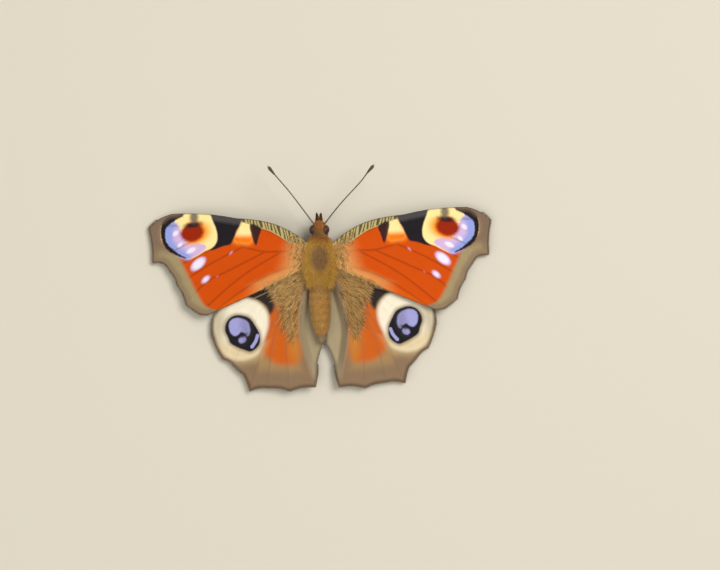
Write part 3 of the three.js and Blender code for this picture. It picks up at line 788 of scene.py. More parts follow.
def build_groups():
    """The effects that several finishes share."""
    marking, into, out = group_tree(
        "Scale marking",
        [("Ground", "NodeSocketColor", (1, 1, 1, 1)), ("Paint", "NodeSocketColor", (0, 0, 0, 1)),
         ("Depth", "NodeSocketFloat", 0.0), ("Grain", "NodeSocketFloat", 0.5),
         ("Ragged", "NodeSocketFloat", 0.15), ("Soft", "NodeSocketFloat", 0.2),
         ("Strength", "NodeSocketFloat", 1.0)],
        [("Colour", "NodeSocketColor")],
    )
    wander = maths(marking, "MULTIPLY", maths(marking, "SUBTRACT", into["Grain"], 0.5), into["Ragged"])
    depth = maths(marking, "ADD", into["Depth"], wander)
    ramp = node(marking, "ShaderNodeMapRange", {
        "Value": depth, "From Min": maths(marking, "MULTIPLY", into["Soft"], -0.5),
        "From Max": maths(marking, "MULTIPLY", into["Soft"], 0.5),
    }, interpolation_type="SMOOTHSTEP")
    mask = maths(marking, "MULTIPLY", ramp.outputs["Result"], into["Strength"])
    marking.links.new(blend_colours(marking, mask, into["Ground"], into["Paint"]), out["Colour"])

    grain, into, out = group_tree(
        "Scale grain", [("Place", "NodeSocketVector", None)],
        [("Ragged", "NodeSocketFloat"), ("Mottle", "NodeSocketFloat"), ("Height", "NodeSocketFloat")],
    )
    fine = node(grain, "ShaderNodeTexNoise", {
        "Vector": into["Place"], "Scale": 3.4, "Detail": 3.0, "Roughness": 0.65,
    })
    broad = node(grain, "ShaderNodeTexNoise", {"Vector": into["Place"], "Scale": 0.45, "Detail": 4.0})
    rows = node(grain, "ShaderNodeTexVoronoi", {
        "Vector": into["Place"], "Scale": 9.0, "Randomness": 0.55,
    })
    tilt = node(grain, "ShaderNodeTexWave", {
        "Vector": into["Place"], "Scale": 2.6, "Distortion": 1.2, "Detail": 1.0, "Detail Scale": 1.5,
    }, wave_type="BANDS", bands_direction="X", wave_profile="SAW")
    height = maths(grain, "ADD", maths(grain, "MULTIPLY", rows.outputs["Distance"], 0.8),
                   maths(grain, "MULTIPLY", tilt.outputs["Fac"], 0.35))
    grain.links.new(fine.outputs["Fac"], out["Ragged"])
    grain.links.new(broad.outputs["Fac"], out["Mottle"])
    grain.links.new(height, out["Height"])


def new_material(name, roughness, **sockets):
    """An empty material with its shader, whose plain numbers sit on the shader itself."""
    material = bpy.data.materials.new(name)
    material.use_nodes = True
    tree = material.node_tree
    shader = tree.nodes["Principled BSDF"]
    shader.inputs["Roughness"].default_value = roughness
    for key, value in sockets.items():
        shader.inputs[key.replace("_", " ")].default_value = value
    return material, tree, shader


def wing_place(tree):
    """Flat wing coordinates in millimetres."""
    flat = node(tree, "ShaderNodeUVMap", uv_map="Wing").outputs["UV"]
    scaled = node(tree, "ShaderNodeVectorMath", {0: flat, "Scale": UV_SPAN}, operation="SCALE")
    return scaled.outputs["Vector"]


def object_place(tree):
    """Where a spot is on the animal, in metres."""
    return node(tree, "ShaderNodeTexCoord").outputs["Object"]


def bump(tree, shader, height, distance, strength):
    """Fine relief from a height, as deep as the distance in metres."""
    made = node(tree, "ShaderNodeBump", {"Height": height, "Distance": distance, "Strength": strength})
    tree.links.new(made.outputs["Normal"], shader.inputs["Normal"])


# Finishes

def laid_marks(tree, ground, grain, marks):
    """Lays a list of marks over a ground colour."""
    colour = ground
    for field, mark, soft, ragged, strength in marks:
        colour = use(tree, "Scale marking", Ground=colour, Paint=mark, Depth=value_of(tree, field),
                     Grain=grain["Ragged"], Ragged=ragged, Soft=soft, Strength=strength)["Colour"]
    return colour


def wing_finish(name, ground, marks):
    """The scaled upper face of a wing, a little worn in patches."""
    material, tree, shader = new_material(name, 0.75, Specular_IOR_Level=0.1)
    grain = use(tree, "Scale grain", Place=wing_place(tree))
    colour = laid_marks(tree, ground, grain, marks)
    worn = maths(tree, "MULTIPLY", maths(tree, "ADD", grain["Mottle"], grain["Ragged"]), 0.22)
    colour = blend_colours(tree, worn, colour, (0.55, 0.5, 0.47, 1), "MULTIPLY")
    tree.links.new(colour, shader.inputs["Base Color"])
    bump(tree, shader, grain["Height"], SCALE_RELIEF, 0.6)
    return material


def upper_forewing():
    """The forewing's markings, from the ground up: field, colour, softness, raggedness, strength."""
    c = bpy.context.scene.butterfly_colours
    marks = [
        ("vein", c.ember, 0.26, 0.05, 0.45),
        ("rear", c.flame, 1.6, 0.3, 0.2),
        ("rearwash", c.gold, 1.6, 0.5, 0.6),
        ("root", c.gold, 5.2, 2.2, 0.95),
        ("creampatch", c.flame, 1.6, 0.3, 1.0),
        ("creampatch", c.cream, 1.1, 0.2, 1.0),
        ("flamewash", c.flame, 1.6, 0.2, 1.0),
        ("strip", c.buff, 0.25, 0.12, 1.0),
        ("ticks", c.black, 0.2, 0.12, 0.8),
        ("wedge", c.black, 0.35, 0.25, 0.95),
        ("bar", c.black, 0.4, 0.35, 1.0),
        ("slate", c.slate, 0.9, 0.5, 0.7),
        ("border", c.border, 1.2, 0.3, 1.0),
        ("apex", c.umber, 3.0, 0.4, 1.0),
        ("ocellus", c.cream, 0.35, 0.2, 1.0),
        ("field", c.lilac, 0.4, 0.5, 1.0),
        ("blue", c.blue, 1.2, 1.0, 1.0),
        ("fieldvein", c.umber, 0.25, 0.1, 0.45),
        ("halo", c.amber, 1.3, 0.3, 0.95),
        ("glow", c.flame, 0.8, 0.3, 0.9),
        ("pupil", c.maroon, 0.7, 0.5, 1.0),
        ("crown", c.black, 0.6, 0.3, 0.95),
        ("gap", c.slate, 0.9, 0.3, 0.85),
        ("dots", c.white, 0.35, 0.12, 0.9),
        ("rim", c.black, 0.3, 0.5, 1.0),
        ("spots", c.lilac, 0.4, 0.2, 0.95),
        ("spotcores", c.white, 0.5, 0.2, 0.95),
        ("edge", c.umber, 1.1, 0.4, 0.65),
        ("lip", c.hem, 0.35, 0.1, 0.7),
    ]
    return wing_finish("forewing scales", c.red, marks)


def upper_hindwing():
    """The hindwing's markings, from the ground up: field, colour, softness, raggedness, strength."""
    c = bpy.context.scene.butterfly_colours
    marks = [
        ("orange", c.orange, 1.8, 0.6, 1.0),
        ("honey", c.honey, 2.6, 0.8, 0.85),
        ("vein", c.umber, 0.3, 0.05, 0.3),
        ("front", c.umber, 2.0, 0.5, 0.6),
        ("root", c.gold, 4.0, 0.8, 0.9),
        ("crescent", c.black, 1.0, 0.4, 0.95),
        ("margin", c.umber, 2.4, 0.6, 0.7),
        ("ring", c.ivory, 1.1, 0.25, 1.0),
        ("faded", c.border, 3.0, 0.3, 0.6),
        ("low", c.sand, 3.0, 0.3, 0.75),
        ("halfshade", c.umber, 0.9, 0.2, 0.7),
        ("eye", c.black, 0.3, 0.25, 1.0),
        ("blob", c.violet, 0.4, 0.3, 1.0),
        ("dusk", c.slate, 2.0, 1.6, 0.4),
        ("notch", c.black, 0.5, 0.5, 0.75),
        ("bar", c.violet, 0.22, 0.25, 1.0),
        ("vane", c.ash, 0.12, 0.05, 0.6),
        ("flap", c.ash, 0.9, 0.3, 0.95),
        ("shadow", c.mauve, 5.0, 0.5, 0.9),
        # painted shade along the flap's crease
        ("groove", c.mauve, 0.5, 0.2, 0.5),
        ("lip", c.hem, 0.8, 0.15, 0.7),
    ]
    return wing_finish("hindwing scales", c.tan, marks)


def under_wing():
    """The blackish underside, with fine wavy cross streaks."""
    c = bpy.context.scene.butterfly_colours
    material, tree, shader = new_material("underside scales", 0.7, Specular_IOR_Level=0.14)
    place = wing_place(tree)
    grain = use(tree, "Scale grain", Place=place)
    streaks = node(tree, "ShaderNodeTexWave", {
        "Vector": place, "Scale": 0.75, "Distortion": 5.0, "Detail": 3.0, "Detail Scale": 1.6,
    }, wave_type="BANDS", bands_direction="DIAGONAL").outputs["Fac"]
    paler = maths(tree, "MULTIPLY", maths(tree, "MULTIPLY", streaks, streaks), grain["Mottle"])
    colour = blend_colours(tree, paler, c.soot, c.bark)
    waved = maths(tree, "ADD", value_of(tree, "outer"), maths(tree, "MULTIPLY", grain["Mottle"], 0.12))
    band = node(tree, "ShaderNodeMapRange", {
        "Value": waved, "From Min": BAND_START, "From Max": BAND_START + 0.04, "To Max": 0.45,
    })
    line = maths(tree, "COMPARE", waved, BAND_START, 0.018)
    colour = blend_colours(tree, band.outputs["Result"], colour, c.bark)
    colour = blend_colours(tree, maths(tree, "MULTIPLY", line, 0.7), colour, c.black)
    tree.links.new(colour, shader.inputs["Base Color"])
    bump(tree, shader, grain["Height"], SCALE_RELIEF, 0.6)
    return material


def fur_finish(name, root, tip, dark, speckle=0.25, ring=None):
    """Fur with painted shade towards the root of each tuft, varying from tuft to tuft, in another colour
    where it has a ring.
    """
    material, tree, shader = new_material(name, 0.6, Specular_IOR_Level=0.2)
    shade = value_of(tree, "shade")
    colour = blend_colours(tree, value_of(tree, "patch"), root, tip)
    if ring is not None:
        colour = blend_colours(tree, value_of(tree, "ring"), colour, ring)
        colour = blend_colours(tree, value_of(tree, "belly"), colour, dark)
    few = maths(tree, "MULTIPLY", maths(tree, "POWER", shade, 5.0), speckle * 2.0)
    colour = blend_colours(tree, few, colour, dark)
    # Painted shade: each tuft is darkened towards its root, where the coat around it hides it from the light
    depth = maths(tree, "MULTIPLY", maths(tree, "SUBTRACT", 1.0, value_of(tree, "tip")), 0.22)
    colour = blend_colours(tree, depth, colour, dark)
    tree.links.new(colour, shader.inputs["Base Color"])
    return material


def skin_finish(name, root, tip, dark, rear=None, ring=None, tail=None):
    """The skin under the fur: it carries the coat's own markings, mottled and finely granular."""
    material, tree, shader = new_material(name, 0.75, Specular_IOR_Level=0.2)
    noise = node(tree, "ShaderNodeTexNoise", {
        "Vector": object_place(tree), "Scale": 900.0, "Detail": 5.0,
    }).outputs["Fac"]
    if rear is not None:
        tip = blend_colours(tree, value_of(tree, "rear"), tip, rear)
    colour = blend_colours(tree, value_of(tree, "patch"), root, tip)
    if ring is not None:
        ring = blend_colours(tree, value_of(tree, "rear"), ring, tail)
        colour = blend_colours(tree, value_of(tree, "ring"), colour, ring)
        colour = blend_colours(tree, value_of(tree, "belly"), colour, dark)
    tree.links.new(blend_colours(tree, noise, dark, colour), shader.inputs["Base Color"])
    bump(tree, shader, noise, 0.00008, 0.7)
    return material


def chitin_finish(name, ground, pale, field, mottle=0.4):
    """Hard dark limbs, ringed or jointed in a paler colour where the field is high."""
    material, tree, shader = new_material(name, 0.45, Specular_IOR_Level=0.4)
    noise = node(tree, "ShaderNodeTexNoise", {
        "Vector": object_place(tree), "Scale": 2500.0, "Detail": 3.0,
    }).outputs["Fac"]
    mottled = blend_colours(tree, maths(tree, "MULTIPLY", noise, mottle), ground, pale)
    colour = blend_colours(tree, value_of(tree, field), mottled, pale)
    tree.links.new(colour, shader.inputs["Base Color"])
    bump(tree, shader, noise, 0.00004, 0.6)
    return material


def eye_finish():
    """A compound eye: brown, finely faceted, with a soft gloss."""
    c = bpy.context.scene.butterfly_colours
    material, tree, shader = new_material("compound eye", 0.35, Specular_IOR_Level=0.32)
    place = object_place(tree)
    facets = node(tree, "ShaderNodeTexVoronoi", {
        "Vector": place, "Scale": 16000.0, "Randomness": 0.15,
    }).outputs["Distance"]
    bands = node(tree, "ShaderNodeTexNoise", {"Vector": place, "Scale": 1500.0}).outputs["Fac"]
    colour = blend_colours(tree, bands, c.eye, c.chitin)
    tree.links.new(blend_colours(tree, facets, colour, c.black), shader.inputs["Base Color"])
    bump(tree, shader, facets, 0.00003, 0.5)
    return material


# Pieces

def wing_sheet(name, wing, side, marks_of, upper, under, slot, cad_node):
    """One wing: a trimmed grid, drooped and veined, with its markings as fields and a thickness."""
    step, membrane, vein_rise = (millimetres(key) for key in ("sheet_step", "membrane", "vein_rise"))
    outline = edge_line(wing)
    low, high = outline.min(axis=0) - step, outline.max(axis=0) + step
    count = np.ceil((high - low) / step).astype(int)
    piece = start(name, bpy.ops.mesh.primitive_grid_add, x_subdivisions=int(count[0]),
                  y_subdivisions=int(count[1]), size=2)
    flat = corners_of(piece)[:, :2]
    points = low + (flat + 1) / 2 * (high - low)
    distance, spot = nearest_on(points, outline, closed=True)
    keep = within(points, outline) | (distance < 0.5 * step)
    points[distance < 0.5 * step] = spot[distance < 0.5 * step]
    move_corners(piece, np.column_stack([points, np.zeros(len(points))]))
    remove_where(piece, ~keep, "VERT")
    points = corners_of(piece)[:, :2]
    centres = np.empty(len(piece.data.polygons) * 3)
    piece.data.polygons.foreach_get("center", centres)
    areas = np.empty(len(piece.data.polygons))
    piece.data.polygons.foreach_get("area", areas)
    stray = ~within(centres.reshape(-1, 3)[:, :2], outline) | (areas < 0.05 * step * step)
    remove_where(piece, stray, "FACE")
    points = corners_of(piece)[:, :2]
    for key, values in marks_of(points).items():
        keep_value(piece, key, values)
    reach = np.hypot(*points.T)
    keep_value(piece, "outer", reach / reach.max())
    keep_uv(piece, "Wing", points / UV_SPAN)
    from_vein = vein_distance(points, wing)
    from_edge = nearest_on(points, outline, closed=True)[0]
    veined = np.exp(-(from_vein / millimetres("vein_half")) ** 2) * np.clip(0.35 + from_edge / 3, 0, 1)
    rise = vein_rise * veined
    billow = 0.09 * np.minimum(1, from_vein / 1.2) * smooth(from_edge / 1.5)
    places = set_on_wing(points, wing, side)
    places[:, 2] += rise - billow + membrane / 2
    settle(piece, places)
    if SIDES[side] < 0:
        edit_all(piece, bpy.ops.mesh.flip_normals)
    thickest = membrane + 2 * vein_rise
    group = piece.vertex_groups.new(name="thickness")
    weights = np.round((membrane + 2 * rise) / thickest, 2)
    for level in np.unique(weights):
        group.add(np.nonzero(weights == level)[0].tolist(), float(level), "REPLACE")
    for finish in (upper, under):
        piece.data.materials.append(finish)
    modify(piece, "SOLIDIFY", thickness=thickest * MM, offset=-1, vertex_group="thickness",
           thickness_vertex_group=0.0, material_offset=1, material_offset_rim=1)
    piece.vertex_groups.clear()
    dress(piece, slot, [cad_node])


def rolled(name, path, radii, around, along, flat=UP):
    """A closed limb from a ball, its rings set along a path.

    It comes with how far along the path each corner is, and with the length of the path.
    """
    piece = start(name, bpy.ops.mesh.primitive_uv_sphere_add, segments=around, ring_count=along, radius=1)
    ball = corners_of(piece)
    t = np.arccos(np.clip(-ball[:, 2], -1, 1)) / math.pi
    angle = np.arctan2(ball[:, 1], ball[:, 0])
    line = spline(path, 400)
    lengths = np.concatenate([[0], np.cumsum(np.linalg.norm(np.diff(line, axis=0), axis=1))])
    total = lengths[-1]
    at = t * total
    place_at = lambda reach: np.column_stack([np.interp(reach, lengths, line[:, k]) for k in range(3)])
    near = 0.01 * total
    tangent = unit(place_at(np.minimum(at + near, total)) - place_at(np.maximum(at - near, 0)))
    side = unit(np.cross(tangent, flat))
    upwards = np.cross(side, tangent)
    stations = np.array(radii, float)
    radius = np.interp(t, stations[:, 0], stations[:, 1])
    radius = radius * np.sqrt(np.clip(1 - np.abs(2 * t - 1) ** 16, 0, 1))
    sideways, upright = radius * np.cos(angle), radius * np.sin(angle)
    settle(piece, place_at(at) + sideways[:, None] * side + upright[:, None] * upwards)
    edit_all(piece, lambda: bpy.ops.mesh.normals_make_consistent(inside=False))
    return piece, t, total


def body_skin(material):
    """One skin from the face to the tip of the abdomen, with a neck, a waist and shallow rings."""
    piece = start("body_skin", bpy.ops.mesh.primitive_uv_sphere_add, segments=72, ring_count=190, radius=1)
    ball = corners_of(piece)
    t = np.arccos(np.clip(-ball[:, 2], -1, 1)) / math.pi
    angle = np.arctan2(ball[:, 1], ball[:, 0])
    stations = spline(BODY_STATIONS, 600)
    y = stations[0, 0] + t * (stations[-1, 0] - stations[0, 0])
    half_x, half_z, level, bend = (np.interp(y, stations[:, 0], stations[:, k]) for k in (1, 2, 3, 4))
    ringed = 0.07 * grooves(y) ** 8 * (y > WAIST + 0.3)
    places = np.column_stack([
        bend + (half_x - ringed) * np.cos(angle), y, level + (half_z - ringed) * np.sin(angle),
    ])
    settle(piece, places)
    edit_all(piece, lambda: bpy.ops.mesh.normals_make_consistent(inside=False))
    rear = smooth((y - 3.8) / 0.8)
    keep_value(piece, "patch", thorax_marks(places) * (1 - rear) + abdomen_marks(places) * rear)
    keep_value(piece, "ring", np.maximum(collar_of(places) * smooth((y + 4.6) / 0.5), head_marks(places)))
    keep_value(piece, "belly", belly_of(places) * smooth((y + 4.6) / 0.5))
    keep_value(piece, "rear", rear)
    dress(piece, "fur_thorax", ["head", "thorax", "abdomen"], material)
    return piece


def body_uv(places):
    """Where a place on the body lies on an unwrap of its skin."""
    stations = spline(BODY_STATIONS, 600)
    y = places[:, 1]
    level = np.interp(y, stations[:, 0], stations[:, 3])
    bend = np.interp(y, stations[:, 0], stations[:, 4])
    around = np.arctan2(places[:, 2] - level, places[:, 0] - bend) / (2 * math.pi) + 0.5
    along = (y - stations[0, 0]) / (stations[-1, 0] - stations[0, 0])
    return np.column_stack([0.01 + 0.98 * around, 0.01 + 0.98 * along])


def collar_of(places):
    """Where the coat changes colour: to rust in a collar behind the head, to ash on the tip of the tail."""
    return 0.85 * smooth((-3.0 - places[:, 1]) / 0.9) + 0.8 * smooth((places[:, 1] - 13.4) / 1.6)


def belly_of(places):
    """How dark the fur is, down the flanks and below."""
    return 0.75 * smooth((3.7 - places[:, 2]) / 1.3)


def thorax_marks(places):
    """How olive the thorax is: all of it, apart from a brown disc on its back."""
    disc = np.hypot(places[:, 0] / 1.35, (places[:, 1] + 0.5) / 2.4)
    return smooth((disc - 0.55) / 0.8)


def grooves(y):
    """1 in the grooves between the abdomen's rings, and 0 halfway between them."""
    return np.abs(np.cos(math.pi * (y - WAIST) / RING_STEP))


def abdomen_marks(places):
    """How golden the abdomen is: less so at its ends, on its flanks and in faint rings."""
    bands = 0.3 * grooves(places[:, 1]) ** 3
    dim = smooth((places[:, 1] - 12.6) / 2.5) + 0.5 * smooth((6.5 - places[:, 1]) / 2)
    flank = 0.35 * smooth((np.abs(places[:, 0] + 0.1) - 0.7) / 0.8)
    return 1.0 - dim - bands - flank


def head_marks(places):
    """How rusty the head is: more so towards the face."""
    return 0.9 * smooth((-4.8 - places[:, 1]) / 0.8)


def speckled(marks, spread):
    """Markings of the skin, varied from tuft to tuft for the coat."""
    return lambda places, rng: np.clip(marks(places) + rng.normal(0, spread, len(places)), 0, 1)


def body_coat(skin, name, count, low, high, length, droop, patch_of, material, slot, seed, half, spread=0.25):
    """Fur between two places along the body, lying rearwards, or out over the wing roots if well spread."""
    on_flanks = spread > 1
    places, outs = scatter(skin, count * (16 if on_flanks else 4), seed)
    allowed = (np.abs(outs[:, 0]) > 0.75) & (outs[:, 2] > 0.05) | (not on_flanks)
    chosen = np.nonzero((places[:, 1] > low) & (places[:, 1] < high) & allowed)[0][:count]
    places, outs = places[chosen], outs[chosen]
    rng = np.random.default_rng(seed + 1)
    wander = rng.normal(size=places.shape) * 0.28
    lie = np.array([0, 1, 0]) + spread * outs + wander
    rise = outs + 0.5 * np.array([0, 1, 0]) + wander
    lengths = length(places) * rng.uniform(0.65, 1.2, len(places))
    marks = {"patch": patch_of(places, rng), "ring": collar_of(places), "belly": belly_of(places)}
    coat = tufts(name, places - 0.05 * outs, rise, lie, lengths, np.full(len(places), half), droop,
                 body_uv(places), marks, seed + 2)
    dress(coat, slot, [], material)
    return coat


def wing_hair(name, wing, side, count, region, material, slot, seed, length, combed_from):
    """Long soft hairs over the root of a wing, lying away from the place they are combed from."""
    rng = np.random.default_rng(seed)
    membrane = millimetres("membrane")
    outline = edge_line(wing, 0.4)
    low, high = outline.min(axis=0), outline.max(axis=0)
    points = low + rng.random((count * 14, 2)) * (high - low)
    chance = region(points) * within(points, outline)
    points = points[rng.random(len(points)) < chance][:count]
    places = set_on_wing(points, wing, side)
    places[:, 2] += membrane / 2
    away = points - np.array(combed_from)
    ahead = points + 0.1 * away / np.linalg.norm(away, axis=1, keepdims=True)
    lie = (set_on_wing(ahead, wing, side) + membrane / 2 * UP - places) * 10
    lie += rng.normal(size=lie.shape) * np.array([0.22, 0.22, 0.05])
    rise = lie + UP * rng.uniform(0.1, 0.5, (len(points), 1))
    lengths = length * rng.uniform(0.6, 1.25, len(points))
    coat = tufts(name, places, rise, lie, lengths, np.full(len(points), 0.03), 1.0,
                 on_unwrap((points - low) / (high - low)),
                 {"patch": np.clip(rng.normal(0.6, 0.25, len(points)), 0, 1)}, seed + 1)
    dress(coat, slot, [], material)
    return coat


def fringe(name, wing, side, first, last, material, slot, seed):
    """Short scales that stand out from the edge of a wing."""
    rng = np.random.default_rng(seed)
    outline = edge_line(wing, 0.05)
    ends = np.array(wing["edge"])[:, :2]
    place_of = lambda index: int(np.argmin(np.hypot(*(outline - ends[index]).T)))
    line = outline[place_of(first):place_of(last)]
    line = np.repeat(line, 3, axis=0) + rng.normal(size=(3 * len(line), 2)) * 0.02
    heading = np.roll(line, -12, axis=0) - np.roll(line, 12, axis=0)
    heading /= np.maximum(np.linalg.norm(heading, axis=1, keepdims=True), 1e-6)
    line, heading = line[12:-12], heading[12:-12]
    outwards = np.column_stack([heading[:, 1], -heading[:, 0]])
    places = set_on_wing(line, wing, side)
    ahead = set_on_wing(line + 0.1 * outwards, wing, side)
    lie = (ahead - places) * 10 + rng.normal(size=places.shape) * np.array([0.2, 0.2, 0.08])
    lengths = rng.uniform(0.16, 0.34, len(line))
    low, high = outline.min(axis=0), outline.max(axis=0)
    coat = tufts(name, places, lie, lie, lengths, np.full(len(line), 0.03), 0.5,
                 on_unwrap((line - low) / (high - low)), {"patch": rng.random(len(line))}, seed + 1)
    dress(coat, slot, [], material)
    return coat


def head_coat(skin, material):
    """Short bristly fur on the head, combed forwards and clear of the eyes."""
    count = bpy.context.scene.butterfly_sizes.head_tufts
    places, outs = scatter(skin, count * 14, 66)
    from_eyes = np.abs(np.abs(places[:, 0] - 0.1) - 1.1) + 0.4 * np.abs(places[:, 2] - 5.0)
    chosen = np.nonzero((places[:, 1] < NECK + 0.1) & (from_eyes > 0.3))[0][:count]
    places, outs = places[chosen], outs[chosen]
    rng = np.random.default_rng(67)
    wander = rng.normal(size=places.shape) * 0.3
    forwards = np.array([0, -1.0, 0.15])
    rise, lie = outs + 0.4 * forwards + wander, forwards + 0.5 * outs + wander
    lengths = rng.uniform(0.25, 0.8, len(places)) * (1 - 0.4 * smooth((-5.8 - places[:, 1]) / 1.2))
    half = np.full(len(places), 0.8 * millimetres("fur_half"))
    coat = tufts("head_fur", places - 0.05 * outs, rise, lie, lengths, half, 0.7, body_uv(places),
                 {"patch": speckled(head_marks, 0.2)(places, rng)}, 68)
    dress(coat, "fur_thorax", [], material)


# Operators

class MakeWings(bpy.types.Operator):
    """Models the four wings with their veins, markings, fringes and hairs"""

    bl_idname = "butterfly.wings"
    bl_label = "Wings"

    def execute(self, context):
        c = context.scene.butterfly_colours
        under = under_wing()
        fore, hind = upper_forewing(), upper_hindwing()
        hair = fur_finish("straw hair", c.fur_gold, c.fur_straw, c.chitin, 0.75)
        fringe_fore = fur_finish("forewing fringe", c.umber, c.border, c.hem)
        fringe_hind = fur_finish("hindwing fringe", c.tan, c.umber, c.hem)
        hind_roots = lambda p: smooth((patch(p, HINDWING["haired"]) + 0.4) / 2.6)
        rear_edge = np.array([FOREWING["edge"][-1][:2], FOREWING["edge"][-2][:2]])
        fore_roots = lambda p: np.maximum(
            smooth(1 - (p[:, 0] - 0.2 + 0.15 * (p[:, 1] - 2)) / 3.4),
            smooth(1 - nearest_on(p, rear_edge)[0] / 1.1) * smooth((9.5 - p[:, 0]) / 5))
        hairs = context.scene.butterfly_sizes.wing_hairs
        for seed, side in enumerate(SIDES):
            wing_sheet(f"forewing_{side}_scales", FOREWING, side, forewing_fields, fore, under, "forewing",
                       f"forewing_{side}")
            wing_sheet(f"hindwing_{side}_scales", HINDWING, side, hindwing_fields, hind, under, "hindwing",
                       f"hindwing_{side}")
            wing_hair(f"hindwing_{side}_hair", HINDWING, side, hairs, hind_roots, hair,
                      "hindwing", 20 + seed, 1.5, (-3.0, -1.5))
            wing_hair(f"forewing_{side}_hair", FOREWING, side, hairs // 2, fore_roots, hair,
                      "forewing", 30 + seed, 1.1, (-2.0, -6.0))
            fringe(f"forewing_{side}_fringe", FOREWING, side, 5, 12, fringe_fore, "forewing", 40 + seed)
            fringe(f"hindwing_{side}_fringe", HINDWING, side, 3, 12, fringe_hind, "hindwing", 50 + seed)
        return {"FINISHED"}


class MakeBody(bpy.types.Operator):
    """Models the body's one skin and its coat of fur"""

    bl_idname = "butterfly.body"
    bl_label = "Body"

    def execute(self, context):
        sizes = context.scene.butterfly_sizes
        c = context.scene.butterfly_colours
        skin = body_skin(skin_finish("skin under fur", c.fur_brown, c.fur_olive, c.chitin,
                                     c.fur_gold, c.fur_rust, c.fur_ash))
        thorax_fur = fur_finish("thorax fur", c.fur_brown, c.fur_olive, c.chitin, 0.25, c.fur_rust)
        abdomen_fur = fur_finish("abdomen fur", c.fur_brown, c.fur_gold, c.chitin, 0.2, c.fur_ash)
        head_fur = fur_finish("head fur", c.fur_brown, c.fur_rust, c.chitin, 0.3)
        thorax_patch, abdomen_patch = speckled(thorax_marks, 0.14), speckled(abdomen_marks, 0.14)
        full, half = millimetres("fur_length"), millimetres("fur_half")
        body_coat(skin, "thorax_fur", sizes.thorax_tufts, NECK, 4.4,
                  lambda places: np.full(len(places), full), 0.65, thorax_patch, thorax_fur,
                  "fur_thorax", 60, half)
        body_coat(skin, "shoulder_fur", sizes.shoulder_tufts, -3.6, 4.6,
                  lambda places: 1.2 + 0.9 * smooth((places[:, 1] + 3.5) / 6), 0.9, thorax_patch, thorax_fur,
                  "fur_thorax", 90, 0.8 * half, spread=1.3)
        body_coat(skin, "abdomen_fur", sizes.abdomen_tufts, 4.2, TAIL_END,
                  lambda places: np.interp(places[:, 1], [4.2, 6, 14, TAIL_END], [0.9, 0.6, 0.45, 0.4]), 0.85,
                  abdomen_patch, abdomen_fur, "fur_abdomen", 63, 0.9 * half)
        head_coat(skin, head_fur)
        return {"FINISHED"}


